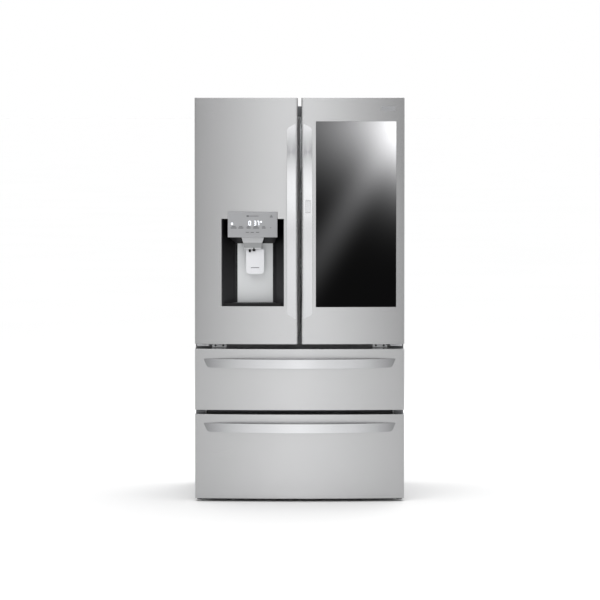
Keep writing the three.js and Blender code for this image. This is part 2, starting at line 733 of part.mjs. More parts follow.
/** Left door with what is fixed to it. */
function leftDoor() {
  return assembly(
    piece("left_door_shell", "steel", leftDoorShell()),
    piece("left_door_liner", "liner", leftDoorLiner()),
    piece("left_door_gasket", "rubber", seal([-GASKET.outer, -GASKET.free], DOOR_GASKET)),
    piece("left_handle", "brightSteel", doorHandle(-1)),
    piece("dispenser_housing", "black", dispenserHousing()),
    piece("control_panel", "silver", controlPanel()),
    piece("ice_chute", "black", iceChute()),
    piece("ice_compartment", "liner", iceCompartment()),
    piece("left_bin_upper", "clear", leftBin(1000)),
    piece("left_bin_lower", "clear", leftBin(742)),
    piece("dispenser_paddle", "silver", dispenserPaddle()),
    piece("drip_tray", "black", dripTray()),
    piece("mullion", "caseGrey", mullion()),
  );
}

// ---------------------------------------------------------------- right door in door

const RIGHT = [DOOR.gapHalf, DOOR.half];
const INNER = { x: [10, 452], y: [-332, DOOR.back], z: [690, 1708], open: [64, 396], openZ: [742, 1652] };
const INNER_BOX = { wall: 6, back: -190 };

/** Ear on the inner frame with the pin of the outer door's hinge. */
function outerHingeEar([low, high], pinZ) {
  const { x, y, pin } = OUTER_HINGE;
  const arm = block([x - 8, x + 8], [y, INNER.y[0] + 1], [low, high]);
  return join(arm, rod("z", [x, y], 8, [low, high]), rod("z", [x, y], pin, pinZ, 16));
}

/** Inner frame of the right door: a plate with a large opening and a box that holds the bins. */
function innerDoorFrame() {
  const plate = block(INNER.x, INNER.y, INNER.z);
  const sleeve = block(
    grow(INNER.open, INNER_BOX.wall), [INNER.y[1] - 1, INNER_BOX.back], grow(INNER.openZ, INNER_BOX.wall),
  );
  const opening = block(INNER.open, [INNER.y[0] - 1, INNER_BOX.back + 1], INNER.openZ);
  const centre = [HINGE.x, HINGE.y];
  const bores = join(
    rod("z", centre, HINGE.pin + GAP, [INNER.z[0] - 1, 706]),
    rod("z", centre, HINGE.pin + GAP, [1688, INNER.z[1] + 1]),
  );
  const frame = cut(join(plate, sleeve), opening, bores);
  return join(frame, outerHingeEar([1699, 1707], [1680, 1706]), outerHingeEar([691, 697], [691, 714]));
}

/** Bin that rests in the inner frame. */
function innerBin(bottom) {
  return tub(grow(INNER.open, -GAP), [INNER.y[0] + 2, INNER_BOX.back - 4], [bottom, bottom + 110], 3);
}

/** Corners cut from the outer door for its own hinge and the case's hinge arm. */
function outerNotches() {
  const x = [OUTER_NOTCH.x, DOOR.half + 1];
  const y = [OUTER_NOTCH.front, OUTER_DOOR_BACK + 1];
  const centre = [OUTER_HINGE.x, OUTER_HINGE.y];
  const bore = (z) => rod("z", centre, OUTER_HINGE.pin + GAP, z, 16);
  return join(
    block(x, y, [OUTER_NOTCH.floor, DOOR.top + 1]),
    block([x[0] + 14, x[1]], y, [DOOR.bottom - 1, OUTER_NOTCH.ceiling]),
    bore([1678, 1700]),
    bore([690, 716]),
  );
}

/** Steel skin of the outer door with its window opening. */
function outerDoorShell() {
  const window = block(WINDOW.x, [-420, -370], WINDOW.z);
  return cut(steelPan(RIGHT, DOOR_Z, OUTER_DOOR_BACK), window, outerNotches());
}

/** Core of the outer door, a frame around the window. */
function outerDoorLiner() {
  const through = block(grow(WINDOW.x, -WINDOW.rim), [-420, OUTER_DOOR_BACK + 1], grow(WINDOW.z, -WINDOW.rim));
  const seat = bowedPlate(WINDOW.x, WINDOW.z, [-5, WINDOW.glass + GAP]);
  return cut(panCore(RIGHT, DOOR_Z, OUTER_DOOR_BACK), through, seat, outerNotches());
}

/** Right door: the inner frame, then the outer door that swings on it. */
function rightDoor() {
  const glass = bowedPlate(grow(WINDOW.x, -GAP), grow(WINDOW.z, -GAP), [0, WINDOW.glass]);
  return assembly(
    piece("inner_door_frame", "liner", innerDoorFrame()),
    piece("inner_door_gasket", "rubber", seal([GASKET.free, GASKET.outer], DOOR_GASKET)),
    piece("inner_bin_upper", "clear", innerBin(1240)),
    piece("inner_bin_lower", "clear", innerBin(INNER.openZ[0] + GAP)),
    piece("outer_door_shell", "steel", outerDoorShell()),
    piece("outer_door_liner", "liner", outerDoorLiner()),
    piece("window_glass", "darkGlass", glass),
    piece("right_handle", "brightSteel", rightHandle()),
    piece("release_button", "silver", releaseButton()),
  );
}

// ---------------------------------------------------------------- freezer drawers

const SLIDE = { bar: [386.4, 393.9], tubBar: [373, 386.1], height: 14, front: -262, cross: 10 };

/** Drawer tub with the side bars that run on the slides. */
function drawerTub({ tub: z, tubBack, slide }) {
  const { tubBar, height } = SLIDE;
  const y = [DOOR.back + GAP, tubBack];
  const bars = [-1, 1].map((side) =>
    block(span(side, tubBar[0] - 2, tubBar[1]), [y[0] + 30, y[1]], [slide - height, slide + height]),
  );
  return join(tub([-tubBar[0], tubBar[0]], y, z, 4), ...bars);
}

/** The two middle members of a drawer's slides, tied by the cross bar that keeps them level. */
function slideMembers({ tubBack, slide }) {
  const { bar, height, front, cross } = SLIDE;
  const back = tubBack + 26;
  const z = [slide - height, slide + height];
  const tie = block([-bar[1], bar[1]], [back - cross, back], [slide - 6, slide + 6]);
  return join(block(span(-1, ...bar), [front, back], z), block(span(1, ...bar), [front, back], z), tie);
}

/** One freezer drawer: front, handle, seal, tub and slides. */
function freezerDrawer(name, size) {
  const x = [-DOOR.half, DOOR.half];
  const z = [size.bottom, size.top];
  return assembly(
    piece(`${name}_drawer_front`, "steel", steelPan(x, z, DOOR.back)),
    piece(`${name}_drawer_core`, "liner", panCore(x, z, DOOR.back)),
    piece(`${name}_drawer_handle`, "brightSteel", drawerHandle(size.handle)),
    piece(`${name}_drawer_gasket`, "rubber", seal([-GASKET.outer, GASKET.outer], size.gasket)),
    piece(`${name}_drawer_basket`, "clear", drawerTub(size)),
    piece(`${name}_slide_members`, "zinc", slideMembers(size)),
  );
}

// ---------------------------------------------------------------- the whole object

const refrigerator = new THREE.Group();
refrigerator.add(
  cabinet(),
  cabinetMovers(),
  leftDoor(),
  rightDoor(),
  freezerDrawer("middle", DRAWERS.middle),
  freezerDrawer("lower", DRAWERS.lower),
);

export default refrigerator;
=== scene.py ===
"""A four-door french door refrigerator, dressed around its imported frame.

Two doors above and two freezer drawers below share one shallow bowed front. The left door
carries a water and ice dispenser, and the right door is a door in a door with a dark window.
Metres. +Z is up, +X is to the right seen from the front, and the doors face -Y.
"""

import logging
import math
from dataclasses import dataclass
from enum import Enum
from typing import Callable, Iterable, Sequence

import bpy
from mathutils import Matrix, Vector


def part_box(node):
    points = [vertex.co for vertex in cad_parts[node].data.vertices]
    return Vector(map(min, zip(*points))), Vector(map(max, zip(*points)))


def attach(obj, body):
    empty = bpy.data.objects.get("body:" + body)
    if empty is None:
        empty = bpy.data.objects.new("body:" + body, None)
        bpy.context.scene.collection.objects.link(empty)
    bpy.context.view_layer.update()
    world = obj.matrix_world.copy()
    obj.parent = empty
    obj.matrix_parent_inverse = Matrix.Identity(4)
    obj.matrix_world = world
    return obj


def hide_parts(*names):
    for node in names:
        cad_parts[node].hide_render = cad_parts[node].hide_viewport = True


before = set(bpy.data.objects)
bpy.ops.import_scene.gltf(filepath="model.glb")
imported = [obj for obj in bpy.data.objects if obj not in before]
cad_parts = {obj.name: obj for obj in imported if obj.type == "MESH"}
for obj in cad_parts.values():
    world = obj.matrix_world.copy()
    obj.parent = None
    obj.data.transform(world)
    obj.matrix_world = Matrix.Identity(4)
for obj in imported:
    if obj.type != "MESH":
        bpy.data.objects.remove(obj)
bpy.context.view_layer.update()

LOG = logging.getLogger("refrigerator")

Range = tuple[float, float]
Colour = tuple[float, float, float]
Piece = bpy.types.Object
Test = Callable[[Vector, Vector], bool]

GAP = 0.0003  # between pieces that touch
SKIN = 0.0025  # steel sheet of doors and drawers


# ---------------------------------------------------------------- ranges


def mid(span: Range) -> float:
    """Middle of a range."""
    return (span[0] + span[1]) / 2


def grow(span: Range, by: float) -> Range:
    """A range made wider at both ends."""
    return (span[0] - by, span[1] + by)


def side_span(side: int, near: float, far: float) -> Range:
    """A range on one side of the middle; side -1 mirrors it to the left."""
    return (near, far) if side > 0 else (-far, -near)


def node_spans(node: str) -> tuple[Range, Range, Range]:
    """The x, y and z ranges of a frame node."""
    low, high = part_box(node)
    return (low.x, high.x), (low.y, high.y), (low.z, high.z)


# ---------------------------------------------------------------- modelling


class Part(Enum):
    """What is selected in edit mode."""

    VERTS = "VERT"
    EDGES = "EDGE"
    FACES = "FACE"


class Axis(Enum):
    """A direction, with the turn that lays an upright cylinder along it."""

    X = (0.0, math.pi / 2, 0.0)
    Y = (math.pi / 2, 0.0, 0.0)
    Z = (0.0, 0.0, 0.0)


def take(piece: Piece) -> None:
    """Leave edit mode, and select one piece alone.

    Args:
        piece: The piece to select.
    """
    if bpy.context.object and bpy.context.object.mode != "OBJECT":
        bpy.ops.object.mode_set(mode="OBJECT")
    bpy.ops.object.select_all(action="DESELECT")
    piece.select_set(True)
    bpy.context.view_layer.objects.active = piece


def rest() -> None:
    """Leave edit mode, and deselect everything."""
    if bpy.context.object and bpy.context.object.mode != "OBJECT":
        bpy.ops.object.mode_set(mode="OBJECT")
    bpy.ops.object.select_all(action="DESELECT")


def named(name: str) -> Piece:
    """Name the new primitive and put its place in its mesh.

    Args:
        name: Its name.

    Returns:
        The new piece.
    """
    piece = bpy.context.object
    piece.name = piece.data.name = name
    bpy.ops.object.transform_apply(location=True, rotation=True, scale=True)
    return piece


def box(name: str, x: Range, y: Range, z: Range) -> Piece:
    """Add a block between three ranges.

    Args:
        name: The piece's name.
        x: Left and right.
        y: Front and back.
        z: Bottom and top.

    Returns:
        The new piece.
    """
    rest()
    size = (x[1] - x[0], y[1] - y[0], z[1] - z[0])
    bpy.ops.mesh.primitive_cube_add(size=1, location=(mid(x), mid(y), mid(z)), scale=size)
    return named(name)


def rod(name: str, axis: Axis, centre: Sequence[float], radius: float, length: float, sides: int = 32) -> Piece:
    """Add a round bar.

    Args:
        name: The piece's name.
        axis: The direction that it runs in.
        centre: The middle of the bar.
        radius: Its radius.
        length: Its length.
        sides: Facets around it.

    Returns:
        The new piece.
    """
    rest()
    bpy.ops.mesh.primitive_cylinder_add(
        vertices=sides, radius=radius, depth=length, location=tuple(centre), rotation=axis.value
    )
    return named(name)


def pick(piece: Piece, part: Part, test: Test) -> None:
    """Open a piece in edit mode with the elements that pass a test selected.

    Args:
        piece: The piece to open.
        part: Whether vertices, edges or faces are tested.
        test: Takes the element's middle and its normal, or an edge's direction.
    """
    take(piece)
    bpy.ops.object.mode_set(mode="EDIT")
    bpy.ops.mesh.select_mode(type=part.value)
    bpy.ops.mesh.select_all(action="DESELECT")
    bpy.ops.object.mode_set(mode="OBJECT")
    mesh = piece.data
    if part is Part.FACES:
        for face in mesh.polygons:
            face.select = test(face.center, face.normal)
    elif part is Part.EDGES:
        for edge in mesh.edges:
            start, end = (mesh.vertices[i].co for i in edge.vertices)
            edge.select = test((start + end) / 2, (end - start).normalized())
    else:
        for vertex in mesh.vertices:
            vertex.select = test(vertex.co, vertex.normal)
    bpy.ops.object.mode_set(mode="EDIT")


def round_edges(piece: Piece, radius: float, steps: int, test: Test) -> Piece:
    """Round the edges that pass a test.

    Args:
        piece: The piece to work on.
        radius: How far the rounding reaches from the edge.
        steps: Facets across the rounding.
        test: Takes an edge's middle and direction.

    Returns:
        The same piece.
    """
    pick(piece, Part.EDGES, test)
    bpy.ops.mesh.bevel(offset=radius, segments=steps, profile=0.5, affect="EDGES")
    rest()
    return piece


def shift(piece: Piece, test: Test, by: Sequence[float]) -> Piece:
    """Move the vertices that pass a test.

    Args:
        piece: The piece to work on.
        test: Picks by place and normal.
        by: The move, in metres.

    Returns:
        The same piece.
    """
    pick(piece, Part.VERTS, test)
    bpy.ops.transform.translate(value=tuple(by))
    rest()
    return piece


def stretch(piece: Piece, test: Test, by: Sequence[float], about: Sequence[float]) -> Piece:
    """Scale the vertices that pass a test about a point.

    Args:
        piece: The piece to work on.
        test: Picks by place and normal.
        by: Scale along each axis.
        about: The point that stays.

    Returns:
        The same piece.
    """
    pick(piece, Part.VERTS, test)
    bpy.ops.transform.resize(value=tuple(by), center_override=tuple(about))
    rest()
    return piece


def drop_faces(piece: Piece, test: Test) -> Piece:
    """Delete the faces that pass a test.

    Args:
        piece: The piece to work on.
        test: Picks by place and normal.

    Returns:
        The same piece.
    """
    pick(piece, Part.FACES, test)
    bpy.ops.mesh.delete(type="FACE")
    rest()
    return piece


def slice_at(piece: Piece, places: Iterable[float], axis: Axis) -> Piece:
    """Cut lines round a piece at places along an axis, with nothing removed.

    Args:
        piece: The piece to work on.
        places: Where to cut.
        axis: The axis they lie along.

    Returns:
        The same piece.
    """
    normal = {Axis.X: (1, 0, 0), Axis.Y: (0, 1, 0), Axis.Z: (0, 0, 1)}[axis]
    take(piece)
    bpy.ops.object.mode_set(mode="EDIT")
    for place in places:
        bpy.ops.mesh.select_all(action="SELECT")
        bpy.ops.mesh.bisect(plane_co=tuple(place * n for n in normal), plane_no=normal)
    rest()
    return piece


def apply_modifier(piece: Piece, kind: str, **settings: object) -> Piece:
    """Add a modifier with its settings and apply it.

    Args:
        piece: The piece to work on.
        kind: The modifier's type.
        settings: Its properties.

    Returns:
        The same piece.
    """
    take(piece)
    modifier = piece.modifiers.new(kind.lower(), kind)
    for key, value in settings.items():
        setattr(modifier, key, value)
    bpy.ops.object.modifier_apply(modifier=modifier.name)
    return piece


def row(piece: Piece, count: int, step: Sequence[float]) -> Piece:
    """Repeat a piece in a row inside one mesh, each copy a fixed step on."""
    return apply_modifier(
        piece, "ARRAY", count=count, use_relative_offset=False, use_constant_offset=True,
        constant_offset_displace=tuple(step),
    )


def combine(piece: Piece, operation: str, *tools: Piece) -> Piece:
    """Run a boolean with each tool in turn and remove the tools."""
    for tool in tools:
        apply_modifier(piece, "BOOLEAN", operation=operation, solver="EXACT", object=tool)
        bpy.data.objects.remove(tool)
    return piece


def carve(piece: Piece, *tools: Piece) -> Piece:
    """Cut tools away from a piece."""
    return combine(piece, "DIFFERENCE", *tools)


def fuse(piece: Piece, *others: Piece) -> Piece:
    """Make one closed body of pieces that overlap."""
    return combine(piece, "UNION", *others)


def gather(piece: Piece, *others: Piece) -> Piece:
    """Join separate bodies into one piece without cutting them.

    Args:
        piece: The body that keeps its name.
        others: The bodies to join to it.

    Returns:
        The joined piece.
    """
    take(piece)
    for other in others:
        other.select_set(True)
    bpy.ops.object.join()
    return piece


def soften(piece: Piece, width: float, steps: int = 2, angle: float = 40.0) -> Piece:
    """Round every edge that is sharper than an angle."""
    return apply_modifier(
        piece, "BEVEL", width=width, segments=steps, limit_method="ANGLE", angle_limit=math.radians(angle)
    )


def thicken(piece: Piece, wall: float, outwards: bool = False) -> Piece:
    """Give an open shell a wall, inwards unless told otherwise."""
    return apply_modifier(
        piece, "SOLIDIFY", thickness=wall, offset=1.0 if outwards else -1.0, use_even_offset=True
    )


def twin(piece: Piece, name: str, move: Sequence[float] = (0, 0, 0)) -> Piece:
    """Copy a piece with its own mesh and move the copy.

    Args:
        piece: The piece to copy.
        name: The copy's name.
        move: The move, in metres.

    Returns:
        The copy.
    """
    take(piece)
    bpy.ops.object.duplicate()
    bpy.ops.transform.translate(value=tuple(move))
    return named(name)


def mirrored(piece: Piece, name: str) -> Piece:
    """Copy a piece to the other side of the middle, faces out.

    Args:
        piece: The piece to copy.
        name: The copy's name.

    Returns:
        The copy.
    """
    take(piece)
    bpy.ops.object.duplicate()
    bpy.ops.transform.resize(value=(-1, 1, 1), center_override=(0, 0, 0))
    copy = named(name)
    bpy.ops.object.mode_set(mode="EDIT")
    bpy.ops.mesh.select_all(action="SELECT")
    bpy.ops.mesh.normals_make_consistent(inside=False)
    rest()
    return copy


def along(axis: int) -> Test:
    """A test for edges that run along X, Y or Z (0, 1 or 2)."""
    return lambda _centre, direction: abs(direction[axis]) > 0.99


# ---------------------------------------------------------------- finishes


class Grain(Enum):
    """How a surface's fine grain is stretched: repeats per metre along X, Y and Z."""

    ACROSS = (4.0, 4.0, 1400.0)
    LENGTHWISE = (3.0, 1300.0, 1300.0)
    UPRIGHT = (1400.0, 1400.0, 4.0)
    PEBBLE = (900.0, 900.0, 900.0)
    ORANGE_PEEL = (320.0, 320.0, 320.0)
    FINE = (2200.0, 2200.0, 2200.0)
    CELLS = (420.0, 420.0, 420.0)


class Sheet:
    """A material's node tree, with short calls that add and join nodes."""

    def __init__(self, name: str) -> None:
        """Start a material that reads the piece's own coordinates.

        Args:
            name: The material's name.
        """
        self.material = bpy.data.materials.new(name)
        self.material.use_nodes = True
        self.nodes = self.material.node_tree.nodes
        self.links = self.material.node_tree.links
        self.surface = self.nodes["Principled BSDF"]
        self.place = self.nodes.new("ShaderNodeTexCoord").outputs["Object"]

    def feed(self, socket: bpy.types.NodeSocket, value: object) -> None:
        """Link a socket to another one, or set its value."""
        if isinstance(value, bpy.types.NodeSocket):
            self.links.new(value, socket)
        else:
            socket.default_value = value

    def noise(self, stretch_by: Sequence[float], detail: float = 3.0) -> bpy.types.NodeSocket:
        """Noise in the piece's own space.

        Args:
            stretch_by: Repeats per metre along each axis.
            detail: Octaves of finer noise.

        Returns:
            The noise value, about 0.5 on average.
        """
        mapping = self.nodes.new("ShaderNodeMapping")
        self.links.new(self.place, mapping.inputs["Vector"])
        mapping.inputs["Scale"].default_value = tuple(stretch_by)
        texture = self.nodes.new("ShaderNodeTexNoise")
        self.links.new(mapping.outputs["Vector"], texture.inputs["Vector"])
        texture.inputs["Scale"].default_value = 1.0
        texture.inputs["Detail"].default_value = detail
        return texture.outputs["Fac"]

    def ramp(self, value: bpy.types.NodeSocket, source: Range, target: Range) -> bpy.types.NodeSocket:
        """Map a value from one range to another, held at the ends.

        Args:
            value: The value.
            source: Its range.
            target: The range it maps to.

        Returns:
            The mapped value.
        """
        node = self.nodes.new("ShaderNodeMapRange")
        self.links.new(value, node.inputs["Value"])
        for key, number in zip(("From Min", "From Max", "To Min", "To Max"), (*source, *target)):
            node.inputs[key].default_value = number
        return node.outputs["Result"]

    def sum(self, operation: str, first: object, second: object = 0.0) -> bpy.types.NodeSocket:
        """One step of arithmetic on two values.

        Args:
            operation: The kind of step.
            first: A value or number.
            second: A value or number.

        Returns:
            The result.
        """
        node = self.nodes.new("ShaderNodeMath")
        node.operation = operation
        self.feed(node.inputs[0], first)
        self.feed(node.inputs[1], second)
        return node.outputs[0]

    def mix(self, amount: object, first: object, second: object) -> bpy.types.NodeSocket:
        """Mix two colours by an amount from 0 to 1.

        Args:
            amount: Share of the second.
            first: The colour at 0.
            second: The colour at 1.

        Returns:
            The colour.
        """
        node = self.nodes.new("ShaderNodeMix")
        node.data_type = "RGBA"
        self.feed(node.inputs[0], amount)
        for index, colour in ((6, first), (7, second)):
            self.feed(node.inputs[index], (*colour, 1.0) if isinstance(colour, tuple) else colour)
        return node.outputs[2]

    def decay(self, value: bpy.types.NodeSocket) -> bpy.types.NodeSocket:
        """e to the power of minus a value."""
        return self.sum("POWER", math.e, self.sum("MULTIPLY", value, -1.0))

    def axis(self, name: str) -> bpy.types.NodeSocket:
        """The piece's own X, Y or Z at a point.

        Args:
            name: X, Y or Z.

        Returns:
            The value, in metres.
        """
        node = self.nodes.new("ShaderNodeSeparateXYZ")
        self.links.new(self.place, node.inputs[0])
        return node.outputs[name]

    def bump(self, height: bpy.types.NodeSocket, strength: float, distance: float) -> None:
        """Raise the surface by a height.

        Args:
            height: The height value.
            strength: From 0 to 1.
            distance: Full height, in metres.
        """
        node = self.nodes.new("ShaderNodeBump")
        node.inputs["Strength"].default_value = strength
        node.inputs["Distance"].default_value = distance
        self.links.new(height, node.inputs["Height"])
        self.links.new(node.outputs["Normal"], self.surface.inputs["Normal"])

    def set(self, **numbers: float) -> None:
        """Set plain numbers on the shader; an underscore in a name stands for a space."""
        for key, number in numbers.items():
            self.surface.inputs[key.replace("_", " ")].default_value = number


@dataclass(frozen=True)
class Finish:
    """A surface with a slow drift of tone and a fine grain.

    Attributes:
        name: The material's name.
        slot: The record's slot that it belongs to. Not used.
        colour: Its main tone.
        drift: The tone that it drifts to.
        rough: Least and greatest roughness.
        metal: 1 for bare metal.
        grain: How the grain is stretched.
        relief: Depth of the grain.
        brushed: How far the shine is drawn out across the grain.
        coat: Clear coat.
        clear: How much light goes through.
        glow: Light that it gives.
        specular: Strength of the shine of a surface that isn't metal.
    """

    name: str
    slot: str
    colour: Colour
    drift: Colour
    rough: Range
    metal: float = 0.0
    grain: Grain = Grain.PEBBLE
    relief: float = 0.0001
    brushed: float = 0.0
    coat: float = 0.0
    clear: float = 0.0
    glow: float = 0.0
    specular: float = 0.5

    def tone(self, sheet: Sheet, grain: bpy.types.NodeSocket) -> bpy.types.NodeSocket:
        """Colour that drifts slowly, with a little of the grain in it.

        Args:
            sheet: The material being made.
            grain: The finish's fine noise.

        Returns:
            The colour.
        """
        slow = sheet.noise((3.1, 3.1, 2.3), 4.0)
        share = sheet.sum("ADD", sheet.sum("MULTIPLY", slow, 0.7), sheet.sum("MULTIPLY", grain, 0.5))
        return sheet.mix(sheet.ramp(share, (0.35, 0.85), (0.0, 1.0)), self.colour, self.drift)

    def material(self) -> bpy.types.Material:
        """The finish's material, made once.

        Returns:
            The material.
        """
        name = f"{self.name}_finish"
        made = bpy.data.materials.get(name)
        if made:
            return made
        sheet = Sheet(name)
        grain = sheet.noise(self.grain.value)
        smudge = sheet.noise((9.0, 9.0, 7.0), 5.0)
        colour = self.tone(sheet, grain)
        sheet.links.new(colour, sheet.surface.inputs["Base Color"])
        both = sheet.sum("ADD", sheet.sum("MULTIPLY", grain, 0.45), sheet.sum("MULTIPLY", smudge, 0.55))
        sheet.links.new(sheet.ramp(both, (0.3, 0.7), self.rough), sheet.surface.inputs["Roughness"])
        sheet.bump(grain, 0.35, self.relief)
        sheet.set(Metallic=self.metal, Anisotropic=self.brushed, Coat_Weight=self.coat)
        sheet.set(Coat_Roughness=0.08, Transmission_Weight=self.clear, Specular_IOR_Level=self.specular)
        if self.brushed:
            sheet.set(Anisotropic_Rotation=0.25)
        if self.glow:
            sheet.links.new(colour, sheet.surface.inputs["Emission Color"])
            sheet.set(Emission_Strength=self.glow)
        return sheet.material


@dataclass(frozen=True)
class PaintedReflectionGlass(Finish):
    """Dark mirrored glass with a painted reflection that brightens it towards its top right corner.

    Attributes:
        corner: X and Z of that corner.
        base: Least share of light that it throws back.
        reflection_peak: Share of the painted reflection at the corner.
        reflection_streak: Share of a slanting painted reflection streak below it.
    """

    corner: tuple[float, float] = (0.413, 1.636)
    base: float = 0.003
    reflection_peak: float = 1.1
    reflection_streak: float = 0.13

    def tone(self, sheet: Sheet, grain: bpy.types.NodeSocket) -> bpy.types.NodeSocket:
        """Painted reflection: colour that darkens with the distance from the corner, with a slanting painted streak.

        Args:
            sheet: The material being made.
            grain: The finish's fine noise; not used.

        Returns:
            The colour.
        """
        # Painted reflection: brightest at the corner, fading away from it, with a slanting streak below it.
        aside = sheet.sum("MAXIMUM", sheet.sum("SUBTRACT", self.corner[0], sheet.axis("X")), 0.0)
        below = sheet.sum("MAXIMUM", sheet.sum("SUBTRACT", self.corner[1], sheet.axis("Z")), 0.0)
        fall = sheet.sum(
            "ADD", sheet.sum("MULTIPLY", aside, 7.0), sheet.sum(
                "MULTIPLY", sheet.sum("POWER", below, 1.655), 15.8
            )
        )
        painted_corner_reflection = sheet.sum("MULTIPLY", sheet.decay(fall), self.reflection_peak)
        line = sheet.sum("ADD", sheet.sum("MULTIPLY", below, 0.62), -0.03)
        off = sheet.sum("DIVIDE", sheet.sum("SUBTRACT", aside, line), 0.078)
        fade = sheet.sum("MULTIPLY", below, 2.5)
        glow = sheet.decay(sheet.sum("ADD", sheet.sum("MULTIPLY", off, off), fade))
        total = sheet.sum(
            "ADD", sheet.sum("ADD", painted_corner_reflection, self.base), sheet.sum("MULTIPLY", glow, self.reflection_streak)
        )
        soft = sheet.sum(
            "MULTIPLY", total, sheet.ramp(sheet.noise((2.0, 2.0, 1.2), 1.0), (0.3, 0.7), (0.92, 1.08))
        )
        return sheet.mix(soft, (0.0, 0.0, 0.0), (1.0, 1.0, 1.02))


@dataclass(frozen=True)
class SteelWithPaintedEndShade(Finish):
    """Brushed steel with painted shade that deepens its tone towards the left and right ends.

    Attributes:
        reach: Distance from the middle to an end.
        power: How late the tone deepens.
        end: Share of the tone that the painted shade leaves at an end.
    """

    reach: float = 0.454
    power: float = 2.0
    end: float = 0.67

    def tone(self, sheet: Sheet, grain: bpy.types.NodeSocket) -> bpy.types.NodeSocket:
        """The plain tone, with painted shade that deepens with the distance from the middle.

        Args:
            sheet: The material being made.
            grain: The finish's fine noise.

        Returns:
            The colour.
        """
        away = sheet.sum("DIVIDE", sheet.sum("ABSOLUTE", sheet.axis("X")), self.reach)
        share = sheet.sum("POWER", away, self.power)
        deep = tuple(level * self.end for level in self.colour)
        return sheet.mix(sheet.ramp(share, (0.0, 1.0), (0.0, 1.0)), super().tone(sheet, grain), deep)


@dataclass(frozen=True)
class BlackWithPaintedRecessShade(Finish):
    """Black plastic with painted shade: black at the top of a recess, under the panel, and greyer towards its bottom.
    """

    span: Range = (0.87, 1.16)

    def tone(self, sheet: Sheet, grain: bpy.types.NodeSocket) -> bpy.types.NodeSocket:
        """Grey at the low end and black with painted shade at the high end."""
        return sheet.mix(sheet.ramp(sheet.axis("Z"), self.span, (0.0, 1.0)), self.drift, self.colour)


@dataclass(frozen=True)
class SilverWithPaintedEdgeShade(Finish):
    """Silver plate with painted shade that darkens it towards its left and right edges."""

    centre: float = -0.192
    half: float = 0.086
    fade: float = 0.034

    def tone(self, sheet: Sheet, grain: bpy.types.NodeSocket) -> bpy.types.NodeSocket:
        """Silver in the middle and dark with painted shade at the two upright edges."""
        away = sheet.sum("ABSOLUTE", sheet.sum("SUBTRACT", sheet.axis("X"), self.centre))
        return sheet.mix(
            sheet.ramp(away, (self.half - self.fade, self.half), (0.0, 1.0)), self.colour, self.drift
        )


# Door steel, with painted shade towards its left and right ends.
STEEL = SteelWithPaintedEndShade(
    "brushed_steel", "brushed_steel", (0.575, 0.577, 0.582), (0.545, 0.547, 0.553), (0.245, 0.275),
    metal=1.0, grain=Grain.ACROSS, relief=0.000012, brushed=0.6,
)
# Drawer steel: a slightly lighter copy of the door steel, lifted against the shade on the drawers, with less painted
# shade at its ends.
DRAWER_STEEL = SteelWithPaintedEndShade(
    "brushed_steel_drawer", "brushed_steel", (0.585, 0.587, 0.592), (0.555, 0.557, 0.563), (0.245, 0.275),
    metal=1.0, grain=Grain.ACROSS, relief=0.000012, brushed=0.6, power=1.6, end=0.78,
)
BRIGHT_STEEL = Finish(
    "bright_steel", "bright_steel", (0.68, 0.685, 0.695), (0.62, 0.624, 0.635), (0.17, 0.24),
    metal=1.0, grain=Grain.UPRIGHT, relief=0.00002, brushed=0.4,
)
# Steel of the drawer bars, with heavy painted shade towards their ends.
BRIGHT_STEEL_LEVEL = SteelWithPaintedEndShade(
    "bright_steel_level", "bright_steel", (0.76, 0.765, 0.78), (0.69, 0.695, 0.71), (0.17, 0.24),
    metal=1.0, grain=Grain.LENGTHWISE, relief=0.00002, brushed=0.4, reach=0.417, power=2.5, end=0.33,
)
CASE_GREY = Finish(
    "case_grey_paint", "case_grey", (0.27, 0.275, 0.285), (0.235, 0.24, 0.25), (0.38, 0.52),
    metal=0.35, grain=Grain.ORANGE_PEEL, relief=0.00012,
)
RAIL_GREY = Finish(
    "rail_grey_paint", "case_grey", (0.045, 0.046, 0.048), (0.034, 0.035, 0.037), (0.35, 0.5),
    grain=Grain.ORANGE_PEEL, relief=0.0001,
)
BLACK_METAL = Finish(
    "black_enamel", "black_metal", (0.014, 0.014, 0.015), (0.03, 0.03, 0.03), (0.3, 0.48),
    grain=Grain.ORANGE_PEEL, relief=0.00015,
)
ZINC = Finish(
    "zinc_plate", "zinc", (0.52, 0.53, 0.54), (0.36, 0.37, 0.385), (0.26, 0.42),
    metal=1.0, grain=Grain.CELLS, relief=0.00005,
)
FOAM = Finish(
    "foam_fill", "foam", (0.72, 0.61, 0.33), (0.62, 0.5, 0.25), (0.85, 0.95), grain=Grain.CELLS, relief=0.0006
)
LINER = Finish(
    "white_liner", "white_liner", (0.82, 0.835, 0.84), (0.77, 0.785, 0.795), (0.28, 0.4),
    grain=Grain.ORANGE_PEEL, relief=0.00006,
)
GREY_PLASTIC = Finish(
    "grey_plastic", "grey_plastic", (0.19, 0.195, 0.2), (0.155, 0.16, 0.165), (0.4, 0.55), relief=0.00012,
)
SILVER_PLASTIC = Finish(
    "silver_plastic", "silver_plastic", (0.41, 0.414, 0.425), (0.36, 0.364, 0.375), (0.34, 0.46),
    metal=0.75, grain=Grain.FINE, relief=0.00004,
)
PALE_SILVER = Finish(
    "pale_silver_plastic", "silver_plastic", (0.60, 0.605, 0.615), (0.54, 0.545, 0.555), (0.28, 0.38),
    metal=0.15, grain=Grain.FINE, relief=0.00003,
)
